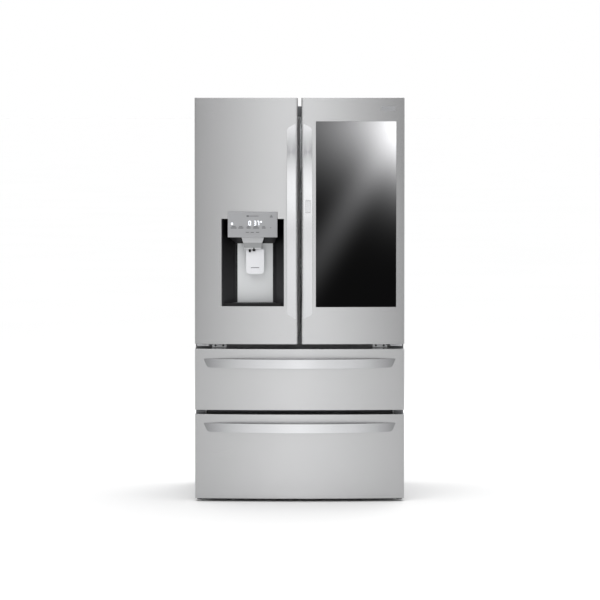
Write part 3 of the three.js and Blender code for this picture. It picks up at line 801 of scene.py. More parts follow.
# Paddle: pale silver plastic, its tone raised to a painted highlight across its face.
PADDLE_SILVER_PAINTED_HIGHLIGHT = Finish(
    "paddle_silver_painted_highlight", "silver_plastic", (0.88, 0.885, 0.91), (0.80, 0.805, 0.83), (0.26, 0.36),
    metal=0.15, grain=Grain.FINE, relief=0.00003,
)
THROAT_GREY = Finish(
    "throat_grey_plastic", "silver_plastic", (0.36, 0.365, 0.37), (0.31, 0.315, 0.32), (0.35, 0.45),
    metal=0.3, grain=Grain.FINE, relief=0.00004,
)
BROW_GREY = Finish(
    "brow_dark_plastic", "black_plastic", (0.012, 0.012, 0.013), (0.02, 0.02, 0.021), (0.3, 0.42), relief=0.00006, specular=0.2,
)
# Back plate: silver, darkened by painted shade towards its upright edges, where it meets the recess's side walls.
BACK_PLATE = SilverWithPaintedEdgeShade(
    "dispenser_back_silver", "silver_plastic", (0.66, 0.665, 0.68), (0.02, 0.02, 0.022), (0.3, 0.4),
    metal=0.6, grain=Grain.FINE, relief=0.00003,
)
BLACK_PLASTIC = Finish(
    "black_plastic", "black_plastic", (0.005, 0.005, 0.0055), (0.010, 0.010, 0.0105), (0.30, 0.42), relief=0.00006, specular=0.2,
)
# Recess walls: black, with painted shade deepening towards the top of the recess.
RECESS_BLACK = BlackWithPaintedRecessShade(
    "recess_black_plastic", "black_plastic", (0.0015, 0.0015, 0.0017), (0.032, 0.032, 0.034), (0.34, 0.46),
    relief=0.00006, specular=0.12,
)
CLEAR_PLASTIC = Finish(
    "clear_plastic", "clear_plastic", (0.95, 0.97, 0.98), (0.91, 0.95, 0.97), (0.06, 0.14),
    grain=Grain.ORANGE_PEEL, relief=0.00003, clear=0.6,
)
CLEAR_GLASS = Finish(
    "clear_glass", "clear_glass", (0.9, 0.955, 0.945), (0.86, 0.93, 0.915), (0.02, 0.06),
    grain=Grain.ORANGE_PEEL, relief=0.00001, clear=0.95,
)
# Window glass: its colour and its glow are a painted reflection, brightest at the top right corner.
DARK_GLASS = PaintedReflectionGlass(
    "smoked_window_glass", "dark_glass", (0.3, 0.3, 0.31), (0.02, 0.02, 0.022), (0.1, 0.16),
    metal=1.0, grain=Grain.ORANGE_PEEL, relief=0.000004, glow=0.35,
)
HINGE_ZINC = Finish(
    "hinge_zinc", "zinc", (0.86, 0.865, 0.88), (0.72, 0.725, 0.74), (0.3, 0.45),
    metal=0.4, grain=Grain.CELLS, relief=0.00005,
)
MULLION_GREY = Finish(
    "mullion_grey", "case_grey", (0.60, 0.603, 0.61), (0.52, 0.523, 0.53), (0.35, 0.5),
    grain=Grain.ORANGE_PEEL, relief=0.0001,
)
STRIP_GREY = Finish(
    "mullion_strip_grey", "case_grey", (0.80, 0.803, 0.81), (0.72, 0.723, 0.73), (0.3, 0.42),
    grain=Grain.UPRIGHT, relief=0.00005,
)
TRIM_GREY = Finish(
    "middle_trim_grey", "case_grey", (0.22, 0.222, 0.226), (0.18, 0.182, 0.186), (0.35, 0.5),
    grain=Grain.LENGTHWISE, relief=0.00006,
)
RUBBER = Finish(
    "grey_rubber", "grey_rubber", (0.30, 0.305, 0.31), (0.25, 0.255, 0.26), (0.6, 0.75), relief=0.0001,
)
LIT_MARK = Finish(
    "lit_display_mark", "silver_plastic", (0.95, 0.97, 1.0), (0.85, 0.9, 1.0), (0.3, 0.4),
    grain=Grain.FINE, relief=0.00001, glow=1.1,
)
INK = Finish(
    "panel_ink", "black_plastic", (0.09, 0.09, 0.095), (0.13, 0.13, 0.135), (0.4, 0.5), grain=Grain.FINE, relief=0.00001
)
LIGHT_LENS = Finish(
    "light_lens", "white_liner", (0.93, 0.94, 0.93), (0.88, 0.9, 0.89), (0.3, 0.4),
    grain=Grain.FINE, relief=0.00002, glow=9.0,
)


def dress(piece: Piece, finish: Finish, body: str, stands_for: Sequence[str] = (), smooth: float = 35.0) -> Piece:
    """Finish a piece and report it.

    Args:
        piece: The piece, in place.
        finish: Its surface.
        body: The frame body that it moves with.
        stands_for: Frame nodes that it replaces.
        smooth: Edges sharper than this many degrees stay sharp.

    Returns:
        The same piece.
    """
    take(piece)
    bpy.ops.object.shade_smooth_by_angle(angle=math.radians(smooth))
    apply_modifier(piece, "WEIGHTED_NORMAL", mode="FACE_AREA", keep_sharp=True)
    piece.data.materials.clear()
    piece.data.materials.append(finish.material())
    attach(piece, body)
    if stands_for:
        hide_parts(*stands_for)
    LOG.info("%s rides on %s, %d faces", piece.name, body, len(piece.data.polygons))
    return piece


def paint_node(node: str, finish: Finish) -> None:
    """Give a frame node that stays its own finish.

    Args:
        node: The node's name.
        finish: Its finish.
    """
    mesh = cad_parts[node].data
    mesh.materials.clear()
    mesh.materials.append(finish.material())
    LOG.info("%s keeps its frame shape", node)


# ---------------------------------------------------------------- the shared front arc


@dataclass(frozen=True)
class FrontArc:
    """The shallow arc in plan that the doors and drawers share."""

    middle: float = -0.397
    half: float = 0.454
    bow: float = 0.025
    facets: int = 1192

    @property
    def radius(self) -> float:
        """Radius of the arc."""
        return (self.half**2 + self.bow**2) / (2 * self.bow)

    def depth(self, x: float) -> float:
        """Y of the front at a distance x from the middle."""
        return self.middle + self.radius - math.sqrt(self.radius**2 - x**2)

    def drum(self, inset: float, z: Range) -> Piece:
        """A drum whose near side is the front, set back by an inset."""
        centre = (0.0, self.middle + self.radius, mid(z))
        return rod("drum", Axis.Z, centre, self.radius - inset, z[1] - z[0] + 0.02, self.facets)

    def block(self, name: str, x: Range, z: Range, back: float, inset: float = 0.0) -> Piece:
        """A block with a bowed front and a flat back."""
        body = box(name, x, (self.middle - 0.01, back), z)
        return combine(body, "INTERSECT", self.drum(inset, z))

    def plate(self, name: str, x: Range, z: Range, near: float, far: float) -> Piece:
        """A plate that follows the arc between two insets."""
        back = self.depth(max(abs(x[0]), abs(x[1]))) + far + 0.01
        return carve(self.block(name, x, z, back, near), self.drum(far, grow(z, 0.01)))


ARC = FrontArc()


@dataclass(frozen=True)
class SteelPan:
    """A bowed steel front: one sheet with folded sides, open at the back."""

    name: str
    x: Range
    z: Range
    back: float
    corner: float = 0.008
    edge: float = 0.0022

    def build(self) -> Piece:
        """The bent sheet with its rounded corners, open at the back.

        Returns:
            The new piece, closed, with its wall inside its outline.
        """
        pan = ARC.block(self.name, self.x, self.z, self.back)
        self.round_corners(pan, self.corner)
        round_edges(pan, self.edge, 3, lambda c, d: self.is_rim(c) and c.y < self.back - 0.0005)
        room = ARC.block("room", grow(self.x, -SKIN), grow(self.z, -SKIN), self.back + 0.01, SKIN)
        self.round_corners(room, self.corner - SKIN)
        return carve(pan, room)

    def round_corners(self, body: Piece, radius: float) -> None:
        """Round the two upright front corners of a bowed block."""
        front = self.back - 0.005
        round_edges(body, radius, 6, lambda c, d: abs(d.z) > 0.99 and self.is_side(c) and c.y < front)

    def is_side(self, point: Vector) -> bool:
        """Whether a point is on the left or right face, inside or outside."""
        return min(abs(point.x - self.x[0]), abs(point.x - self.x[1])) < SKIN + 1e-4

    def is_rim(self, point: Vector) -> bool:
        """Whether a point is on the bottom or top face."""
        return min(abs(point.z - self.z[0]), abs(point.z - self.z[1])) < 1e-5


class Lie(Enum):
    """Which way a handle lies."""

    UPRIGHT = "upright"
    LEVEL = "level"


@dataclass(frozen=True)
class BowedHandle:
    """A flat bar bowed away from the front, with ends cut on a slant.

    Attributes:
        name: The piece's name.
        lie: Upright on a door or level on a drawer.
        length: From one end to the other.
        width: Across the bar.
        base: Depth of the surface that its ends meet.
        front: Depth of its foremost point.
        long_side: The edge that keeps the full length, at the low (-1) or high (1) end of width.
        slant: How much shorter the other edge is at each end.
        thick: Thickness of the bar.
    """

    name: str
    lie: Lie
    length: Range
    width: Range
    base: float
    front: float
    long_side: int
    slant: float
    thick: float = 0.013
    round: float = 0.0026
    facets: int = 720

    def place(self, along_bar: float, across: float, depth: float) -> Vector:
        """A point from its places along the bar and across it."""
        if self.lie is Lie.UPRIGHT:
            return Vector((across, depth, along_bar))
        return Vector((along_bar, depth, across))

    def slab(self, name: str, length: Range, width: Range, depth: Range) -> Piece:
        """A block given in the bar's own directions."""
        low, high = (self.place(length[i], width[i], depth[i]) for i in (0, 1))
        return box(name, (low.x, high.x), (low.y, high.y), (low.z, high.z))

    def drum(self, inset: float) -> Piece:
        """A drum whose near side is the bar's bow, set back by an inset.

        Args:
            inset: How far inside the bow.

        Returns:
            The drum.
        """
        half, rise = (self.length[1] - self.length[0]) / 2, self.base - self.front
        radius = (half**2 + rise**2) / (2 * rise)
        axis = Axis.X if self.lie is Lie.UPRIGHT else Axis.Z
        centre = self.place(mid(self.length), mid(self.width), self.front + radius)
        return rod("drum", axis, centre, radius - inset, self.width[1] - self.width[0] + 0.04, self.facets)

    def build(self, *cuts: Piece) -> Piece:
        """The bar, from an envelope with slanted ends that two drums trim.

        Args:
            cuts: Bodies to cut from it before its edges are softened.

        Returns:
            The new piece.
        """
        index, other = (2, 0) if self.lie is Lie.UPRIGHT else (0, 2)
        short = self.width[0] if self.long_side > 0 else self.width[1]
        bar = self.slab(self.name, self.length, self.width, (self.front - 0.001, self.base))
        for end, sign in ((self.length[0], 1), (self.length[1], -1)):
            move = [0.0, 0.0, 0.0]
            move[index] = sign * self.slant
            shift(bar, lambda c, n, e=end: abs(c[index] - e) < 1e-5 and abs(c[other] - short) < 1e-5, move)
        round_edges(bar, 0.011, 6, lambda c, d: abs(d.y) > 0.99 and abs(c[other] - short) < 1e-4)
        round_edges(bar, 0.004, 4, lambda c, d: abs(d.y) > 0.99 and abs(c[other] - short) > 0.02)
        combine(bar, "INTERSECT", self.drum(0.0))
        carve(bar, self.drum(self.thick), *cuts)
        return soften(bar, self.round, 4, 35.0)


# ---------------------------------------------------------------- left door and dispenser


@dataclass
class Dispenser:
    """Water and ice dispenser: recess, back plate, panel, chute, nozzle, paddle and tray."""

    x: Range = (-0.3375, -0.068)
    z: Range = (0.849, 1.227)
    back: float = -0.315
    back_x: Range = (-0.275, -0.109)
    wall: float = 0.003
    panel_back: float = -0.372
    chute_split: float = 1.125
    body: str = "left_door"

    def build(self) -> None:
        """Build every piece of the dispenser."""
        self.housing()
        self.back_plate()
        self.panel()
        self.display()
        self.chute()
        self.nozzle()
        self.paddle()
        self.tray()

    def housing(self) -> None:
        """Moulded black recess with slanted sides that sweep into the back."""
        front = ARC.middle - 0.004
        room = box("dispenser_recess", self.x, (front, self.back), self.z)
        reach = (ARC.depth(-0.2) - front) / (self.back - ARC.depth(-0.2))
        for side, (outer, inner) in enumerate(zip(self.x, self.back_x)):
            shift(
                room, lambda c, n, o=outer: c.y > self.back - 1e-4 and abs(c.x - o) < 1e-4, (
                    inner - outer, 0, 0
                )
            )
            shift(
                room, lambda c, n, o=outer: c.y < front + 1e-4 and abs(c.x - o) < 1e-4, (
                    (outer - inner) * reach, 0, 0
                )
            )
        round_edges(room, 0.022, 8, lambda c, d: abs(d.z) > 0.99 and c.y > self.back - 1e-4)
        round_edges(room, 0.006, 4, lambda c, d: c.y > self.back - 1e-4 and abs(d.x) > 0.99)
        drop_faces(room, lambda c, n: n.y < -0.9)
        self.flip(room)
        thicken(room, self.wall)
        (px, py, pz) = node_spans("control_panel")
        carve(room, box("cut", grow(px, GAP), (-0.45, py[1] + GAP), grow(pz, GAP)))
        combine(room, "INTERSECT", ARC.block("keep", grow(self.x, 0.03), grow(self.z, 0.03), -0.2, 0.0004))
        soften(room, 0.0006, 2, 50)
        dress(room, RECESS_BLACK, self.body, ["dispenser_housing"])

    @staticmethod
    def flip(piece: Piece) -> None:
        """Turn a shell's faces to look into the room.

        Args:
            piece: The shell.
        """
        pick(piece, Part.FACES, lambda c, n: True)
        bpy.ops.mesh.flip_normals()
        rest()

    def back_plate(self) -> None:
        """Silver plate on the back wall, its upright edges swept forwards."""
        x = grow(self.back_x, 0.004)
        plate = box("dispenser_back_plate", x, (self.back - 0.0016, self.back - GAP), grow(self.z, -0.012))
        slice_at(plate, [x[0] + 0.012, x[1] - 0.012], Axis.X)
        shift(plate, lambda c, n: min(abs(c.x - x[0]), abs(c.x - x[1])) < 1e-4, (0, -0.007, 0))
        soften(plate, 0.0006, 2)
        dress(plate, BACK_PLATE, self.body)

    def panel(self) -> None:
        """Control panel: a shallow wedge with a lip along its lower edge."""
        x, y, z = node_spans("control_panel")
        panel = box("control_panel_face", x, y, z)
        shift(panel, lambda c, n: c.y < y[0] + 1e-4 and c.z < z[0] + 1e-4, (0, 0.0035, 0))
        slice_at(panel, [z[0] + 0.010], Axis.Z)
        shift(panel, lambda c, n: c.y < -0.39 and abs(c.z - z[0] - 0.010) < 1e-4, (0, -0.0006, 0))
        round_edges(panel, 0.0025, 4, lambda c, d: c.y < -0.39 and (abs(d.x) > 0.99 or abs(d.z) > 0.9))
        dress(panel, SILVER_PLASTIC, self.body, ["control_panel"])
        self.brow(x, (1.1185, z[0] - GAP))

    def brow(self, x: Range, z: Range) -> None:
        """Dark slope from under the panel back to the silver plate, open for the chute.

        Args:
            x: Its width.
            z: Its height.
        """
        back = self.back - 0.0020
        brow = box("dispenser_brow", grow(x, -0.004), (self.panel_back + 0.002, back), z)
        for side, inner in enumerate(self.back_x):
            outer = grow(x, -0.004)[side]
            shift(
                brow, lambda c, n, o=outer: c.z < z[0] + 1e-4 and abs(c.x - o) < 1e-4, (inner - outer, 0, 0)
            )
            shift(
                brow, lambda c, n, o=outer: c.y > back - 1e-4 and c.z > z[0] + 0.001 and abs(c.x - o) < 1e-4, (
                    inner - outer, 0, 0
                )
            )
        shift(
            brow, lambda c, n: c.y < self.panel_back + 0.003 and c.z < z[0] + 1e-4, (
                0, back - self.panel_back - 0.005, 0
            )
        )
        cx, cy, _cz = node_spans("ice_chute")
        carve(brow, box("cut", grow(cx, 0.0012), (-0.45, cy[1] + 0.0012), grow(z, 0.01)))
        dress(brow, BROW_GREY, self.body)

    def mark(self, x: Range, z: Range, y: float) -> Piece:
        """One printed or lit mark on the panel's face."""
        return box("mark", x, (y - 0.0003, y + 0.0006), z)

    def digit(self, left: float, bottom: float, lit: str, y: float) -> list[Piece]:
        """A seven-segment digit.

        Args:
            left: Its left edge.
            bottom: Its lower edge.
            lit: The segments that are lit, from a at the top, clockwise, to g in the middle.
            y: Depth of the panel's face.

        Returns:
            One mark for each lit segment.
        """
        wide, high, bar = 0.0105, 0.020, 0.0024
        half = high / 2
        spans = {
            "a": ((bar, wide - bar), (high - bar, high)),
            "b": ((wide - bar, wide), (half, high - bar / 2)),
            "c": ((wide - bar, wide), (bar / 2, half)),
            "d": ((bar, wide - bar), (0, bar)),
            "e": ((0, bar), (bar / 2, half)),
            "f": ((0, bar), (half, high - bar / 2)),
            "g": ((bar, wide - bar), (half - bar / 2, half + bar / 2)),
        }
        return [
            self.mark(*(tuple(v + o for v in s) for s, o in zip(spans[key], (left, bottom))), y) for key in lit
        ]

    def display(self) -> None:
        """Lit digits and small plain marks in place of labels."""
        x, y, z = node_spans("control_panel")
        face = y[0]
        lit = self.digit(-0.2205, 1.1990, "abcdef", face)
        lit += self.digit(-0.1985, 1.1990, "abcdg", face) + self.digit(-0.1850, 1.1990, "abc", face)
        lit += [self.mark((-0.2955, -0.2880), (1.2020, 1.2105), face), self.mark((-0.1690, -0.1630), (1.2120, 1.2180), face)]
        digits = gather(*lit)
        digits.name = digits.data.name = "display_digits"
        dress(digits, LIT_MARK, self.body)
        ink = []
        for left, wide in (
            (-0.2975, 0.026), (-0.2645, 0.022), (-0.2290, 0.018), (-0.2010, 0.026), (-0.1630, 0.016)
        ):
            ink.append(self.mark((left + wide * 0.15, left + wide * 0.8), (1.1935, 1.1955), face))
            ink.append(self.mark((left, left + wide), (1.1865, 1.1895), face))
        for left in (-0.2325, -0.2115, -0.1885):
            ink.append(self.mark((left, left + 0.014), (1.1680, 1.1705), face))
        ink += [self.mark((-0.2290, -0.2190), (1.2365, 1.2425), face), self.mark((-0.2160, -0.1770), (1.2385, 1.2405), face)]
        ink += [self.mark((-0.1285, -0.1160), (1.2340, 1.2375), face), self.mark((-0.1255, -0.1190), (1.2395, 1.2425), face)]
        ink.append(self.mark((-0.1265, -0.1225), (1.1875, 1.1905), face))
        marks = gather(*ink)
        marks.name = marks.data.name = "panel_marks"
        dress(marks, INK, self.body)

    def chute(self) -> None:
        """Ice chute: an upper collar, a narrower throat and a lip."""
        x, y, z = node_spans("ice_chute")
        top, throat, mouth = 1.1465, self.chute_split, z[0]
        collar = box("ice_chute_body", x, (y[0], y[1]), (mouth, self.z[1] - GAP))
        slice_at(collar, [mouth + 0.005, throat, top], Axis.Z)
        middle = (mid((-0.237, -0.163)), mid(y), 0)
        stretch(collar, lambda c, n: abs(c.z - throat) < 1e-4, (0.86, 0.94, 1), (mid(x), mid(y), throat))
        for height, share in ((mouth + 0.005, 0.74), (mouth, 0.77)):
            stretch(
                collar, lambda c, n, h=height: abs(c.z - h) < 1e-4, (share, 0.9, 1), (
                    middle[0], middle[1], height
                )
            )
        hollow = box("cut", (-0.232, -0.168), (y[0] + 0.006, y[1] - 0.006), (mouth - 0.01, 1.2))
        carve(collar, hollow)
        soften(collar, 0.0014, 3, 30)
        dress(collar, PALE_SILVER, self.body, ["ice_chute"])
        band = box(
            "chute_throat_band", (-0.2445, -0.1615), (y[0] + 0.0006, y[1] - 0.004), (
                mouth + 0.006, throat - 0.002
            )
        )
        stretch(band, lambda c, n: c.z < throat - 0.01, (0.88, 1, 1), (-0.2, mid(y), mouth))
        carve(band, box("cut", (-0.231, -0.169), (y[0] + 0.007, y[1] - 0.005), (mouth - 0.01, 1.2)))
        soften(band, 0.001, 2, 30)
        dress(band, THROAT_GREY, self.body)

    def nozzle(self) -> None:
        """Dark water nozzle with its two outlets under the chute."""
        x, y, z = node_spans("dispenser_paddle")
        tips = []
        for centre, radius, drop in ((-0.2155, 0.0062, 0.012), (-0.1975, 0.0085, 0.008)):
            tip = rod("tip", Axis.Z, (centre, y[0] - 0.010, z[1] + 0.004 - drop / 2), radius, drop + 0.008)
            stretch(tip, lambda c, n: c.z < z[1] - 0.002, (0.7, 0.7, 1), (centre, y[0] - 0.010, z[1]))
            tips.append(soften(tip, 0.001, 3, 40))
        nozzle = gather(*tips)
        nozzle.name = nozzle.data.name = "water_nozzle"
        dress(nozzle, BLACK_PLASTIC, self.body)

    def paddle(self) -> None:
        """Paddle with round lower corners, a raised right rim and a groove darkened by a strip of painted shade."""
        x, y, z = node_spans("dispenser_paddle")
        paddle = box("paddle_plate", x, y, z)
        round_edges(paddle, 0.016, 8, lambda c, d: abs(d.y) > 0.99 and c.z < z[0] + 0.001)
        slice_at(paddle, [x[1] - 0.006], Axis.X)
        shift(paddle, lambda c, n: c.x > x[1] - 0.001 and c.y < mid(y) and c.z > z[0] + 0.02, (0, -0.0035, 0))
        groove = box("cut", (x[0] + 0.020, x[1] - 0.020), (y[0] - 0.002, y[0] + 0.0012), (1.0130, 1.0155))
        carve(paddle, groove)
        soften(paddle, 0.0012, 3, 30)
        dress(paddle, PADDLE_SILVER_PAINTED_HIGHLIGHT, "paddle", ["dispenser_paddle"])
        # A dark strip laid in the groove: painted shade.
        line = box(
            "paddle_groove_painted_shade", (x[0] + 0.021, x[1] - 0.021), (y[0] - 0.0002, y[0] + 0.0008), (1.0128, 1.0157)
        )
        dress(soften(line, 0.0003, 2), INK, "paddle")

    def tray(self) -> None:
        """Drip tray with a slotted cover."""
        x, y, z = node_spans("drip_tray")
        tray = box("drip_tray_pan", x, y, z)
        for side, back_x in ((0, -0.271), (1, -0.113)):
            shift(
                tray, lambda c, n, s=side: c.y > y[1] - 1e-4 and abs(c.x - x[s]) < 1e-4, (
                    back_x - x[side], 0, 0
                )
            )
        drop_faces(tray, lambda c, n: n.z > 0.9)
        thicken(tray, 0.003)
        soften(tray, 0.0008, 2)
        dress(tray, BLACK_PLASTIC, "tray", ["drip_tray"])
        cover = box(
            "drip_tray_grille", (-0.318, -0.087), (y[0] + 0.0045, y[1] - 0.0045), (
                z[1] - 0.0042, z[1] - 0.0012
            )
        )
        for side, back_x in ((-0.318, -0.267), (-0.087, -0.117)):
            shift(
                cover, lambda c, n, s=side: c.y > y[1] - 0.006 and abs(c.x - s) < 1e-4, (back_x - side, 0, 0)
            )
        slots = [
            box("slot", (left, left + 0.0042), (y[0] + 0.012, y[1] - 0.010), grow(z, 0.01))
            for left in (-0.262 + 0.0095 * i for i in range(15))
        ]
        carve(cover, gather(*slots))
        dress(cover, GREY_PLASTIC, "tray")


@dataclass
class LeftDoor:
    """Left door: steel skin, core, handle and what it carries."""

    body: str = "left_door"
    handle_slant: float = 0.019

    def build(self) -> None:
        """Build the door's outside."""
        self.skin()
        self.handle()
        Dispenser().build()

    def skin(self) -> None:
        """Steel skin with the openings of the dispenser, the hinge notch and the lower pin hole."""
        x, y, z = node_spans("left_door_shell")
        pan = SteelPan("left_door_skin", x, z, y[1]).build()
        recess = Dispenser()
        panel_x, panel_y, panel_z = node_spans("control_panel")
        carve(pan, box("cut", grow(recess.x, GAP), (-0.45, -0.35), grow(recess.z, GAP)))
        carve(pan, box("cut", grow(panel_x, GAP), (-0.45, -0.35), grow(panel_z, GAP)))
        carve(pan, box("cut", (x[0] - 0.01, -0.417), (-0.354, y[1] + 0.01), (1.708, z[1] + 0.01)))
        carve(pan, rod("cut", Axis.Z, (-0.434, -0.322, z[0]), 0.0053, 0.02))
        dress(pan, STEEL, self.body, ["left_door_shell"])

    def handle(self) -> None:
        """Upright handle beside the gap."""
        x, y, z = node_spans("left_handle")
        bar = BowedHandle("left_door_handle", Lie.UPRIGHT, z, x, y[1], y[0], 1, self.handle_slant).build()
        dress(bar, BRIGHT_STEEL, self.body, ["left_handle"])


# ---------------------------------------------------------------- right door


@dataclass
class OuterDoor:
    """Outer part of the right door: skin, window, handle, button and badge."""

    body: str = "outer_door"
    window_x: Range = (0.070, 0.418)
    window_z: Range = (0.845, 1.648)
    badge_x: Range = (0.353, 0.416)
    badge_z: Range = (1.6935, 1.7125)

    def build(self) -> None:
        """Build the outer door's outside."""
        self.skin()
        self.window()
        self.handle()
        self.button()
        self.badge()

    def skin(self) -> None:
        """Steel skin with the window opening and the hinge notches."""
        x, y, z = node_spans("outer_door_shell")
        pan = SteelPan("outer_door_skin", x, z, y[1]).build()
        carve(pan, box("cut", self.window_x, (-0.45, -0.35), self.window_z))
        carve(pan, box("cut", (0.417, x[1] + 0.01), (-0.366, y[1] + 0.01), (1.696, z[1] + 0.01)))
        carve(pan, box("cut", (0.431, x[1] + 0.01), (-0.366, y[1] + 0.01), (z[0] - 0.01, 0.700)))
        dress(pan, STEEL, self.body, ["outer_door_shell"])

    def window(self) -> None:
        """Dark outer pane, set just behind the skin, and its inner pane."""
        glass = ARC.plate("window_pane", grow(self.window_x, -GAP), grow(self.window_z, -GAP), 0.0004, 0.005)
        soften(glass, 0.0006, 2)
        dress(glass, DARK_GLASS, self.body, ["window_glass"])
        rim = 0.022
        x, z = grow(self.window_x, -rim - GAP), grow(self.window_z, -rim - GAP)
        pane = soften(box("window_inner_pane", x, (-0.3465, -0.3425), z), 0.0006, 2)
        dress(pane, CLEAR_GLASS, self.body)

    def handle(self) -> None:
        """Upright handle beside the gap, with the pocket of the release button."""
        x, y, z = node_spans("right_handle")
        bar = BowedHandle("outer_door_handle", Lie.UPRIGHT, z, x, y[1], y[0], -1, LeftDoor.handle_slant)
        bx, by, bz = node_spans("release_button")
        pocket = box("cut", grow(bx, 0.0006), (by[0] - 0.01, by[0] + 0.009), (bz[0] - 0.0006, bz[1] + 0.0022))
        bar = bar.build(round_edges(pocket, 0.002, 3, along(1)))
        dress(bar, BRIGHT_STEEL, self.body, ["right_handle"])

    def button(self) -> None:
        """Release button with a domed face and soft corners."""
        x, y, z = node_spans("release_button")
        button = box("release_button_cap", x, y, z)
        round_edges(button, 0.002, 4, along(1))
        pick(button, Part.FACES, lambda c, n: n.y < -0.9)
        bpy.ops.mesh.inset(thickness=0.003, depth=0.0)
        rest()
        shift(button, lambda c, n: c.y < y[0] + 1e-5 and not OuterDoor.near_rim(c, x, z), (0, 0.0004, 0))
        soften(button, 0.0006, 2)
        dress(button, BRIGHT_STEEL, "button", ["release_button"])

    @staticmethod
    def near_rim(point: Vector, x: Range, z: Range) -> bool:
        """Whether a point is on a face's outer rim."""
        margin = 0.0025
        return min(point.x - x[0], x[1] - point.x, point.z - z[0], z[1] - point.z) < margin

    def badge(self) -> None:
        """Small blank plate in the upper right corner."""
        plate = ARC.plate("blank_badge", self.badge_x, self.badge_z, -0.0011, -0.0001)
        round_edges(plate, 0.006, 6, lambda c, d: abs(d.y) > 0.9)
        soften(plate, 0.0003, 2)
        dress(plate, SILVER_PLASTIC, self.body)


# ---------------------------------------------------------------- freezer drawers


@dataclass
class Drawer:
    """One freezer drawer."""

    name: str

    @property
    def body(self) -> str:
        """The frame body that it moves with."""
        return f"{self.name}_drawer"

    def build(self) -> None:
        """Build the drawer's outside."""
        x, y, z = node_spans(f"{self.name}_drawer_front")
        pan = SteelPan(f"{self.name}_drawer_skin", x, z, y[1]).build()
        dress(pan, DRAWER_STEEL, self.body, [f"{self.name}_drawer_front"])
        hx, hy, hz = node_spans(f"{self.name}_drawer_handle")
        bar = BowedHandle(f"{self.name}_drawer_bar", Lie.LEVEL, hx, hz, hy[1], hy[0], 1, 0.017)
        bar = bar.build(ARC.block("cut", x, grow(hz, 0.01), y[1], -GAP))
        dress(bar, BRIGHT_STEEL_LEVEL, self.body, [f"{self.name}_drawer_handle"])


# ---------------------------------------------------------------- shared small pieces


def ring(name: str, x: Range, y: Range, z: Range, width: float) -> Piece:
    """Add a rectangular ring that stands upright, open from front to back."""
    return carve(box(name, x, y, z), box("cut", grow(x, -width), grow(y, 0.01), grow(z, -width)))


def scatter(piece: Piece, moves: Iterable[Sequence[float]]) -> Piece:
    """Copy a piece to other places and join the copies with it."""
    return gather(piece, *[twin(piece, f"{piece.name}_copy", move) for move in moves])


def screw(name: str, facing: int, centre: Sequence[float], radius: float = 0.0042) -> Piece:
    """A round screw head with a cross recess.

    Args:
        name: The piece's name.
        facing: -1 for the front, 1 for the back.
        centre: Middle of the surface that it sits on.
        radius: Radius of the head.

    Returns:
        The new piece.
    """
    x, y, z = centre
    height = 0.0022
    head = rod(name, Axis.Y, (x, y + facing * height / 2, z), radius, height, 24)
    round_edges(head, 0.0011, 3, lambda c, d: facing * (c.y - y) > height - 1e-5 and abs(d.y) < 0.1)
    for wide, high in ((0.62, 0.14), (0.14, 0.62)):
        slot = box(
            "cut", grow((x, x), radius * wide), grow((y + facing * height,) * 2, 0.0009), grow(
                (z, z), radius * high
            )
        )
        carve(head, slot)
    return head


@dataclass(frozen=True)
class Gasket:
    """Soft door seal: a base, a narrow bellows and a magnet strip.

    Attributes:
        name: The piece's name.
        body: The frame body that it moves with.
        x: Left and right of the ring.
        y: From the base to the magnet strip.
        z: Bottom and top of the ring.
        stands_for: Frame nodes that it replaces.
        width: Width of the ring's section.
    """

    name: str
    body: str
    x: Range
    y: Range
    z: Range
    stands_for: tuple[str, ...] = ()
    width: float = 0.014

    @classmethod
    def of_node(cls, name: str, body: str, node: str) -> "Gasket":
        """A seal in the place of a frame node."""
        return cls(name, body, *node_spans(node), (node,))

    def build(self) -> None:
        """Build the ring with a groove around its outside and its inside."""
        seal = ring(self.name, self.x, self.y, self.z, self.width)
        deep, third = self.y[1] - self.y[0], self.width * 0.36
        neck = (self.y[0] + 0.3 * deep, self.y[0] + 0.62 * deep)
        outer = ring("cut", grow(self.x, 0.002), neck, grow(self.z, 0.002), 0.002 + third)
        inner_by = third - self.width
        inner = ring("cut", grow(self.x, inner_by), neck, grow(self.z, inner_by), third + 0.002)
        carve(seal, outer, inner)
        soften(seal, 0.0007, 2)
        dress(seal, RUBBER, self.body, self.stands_for)


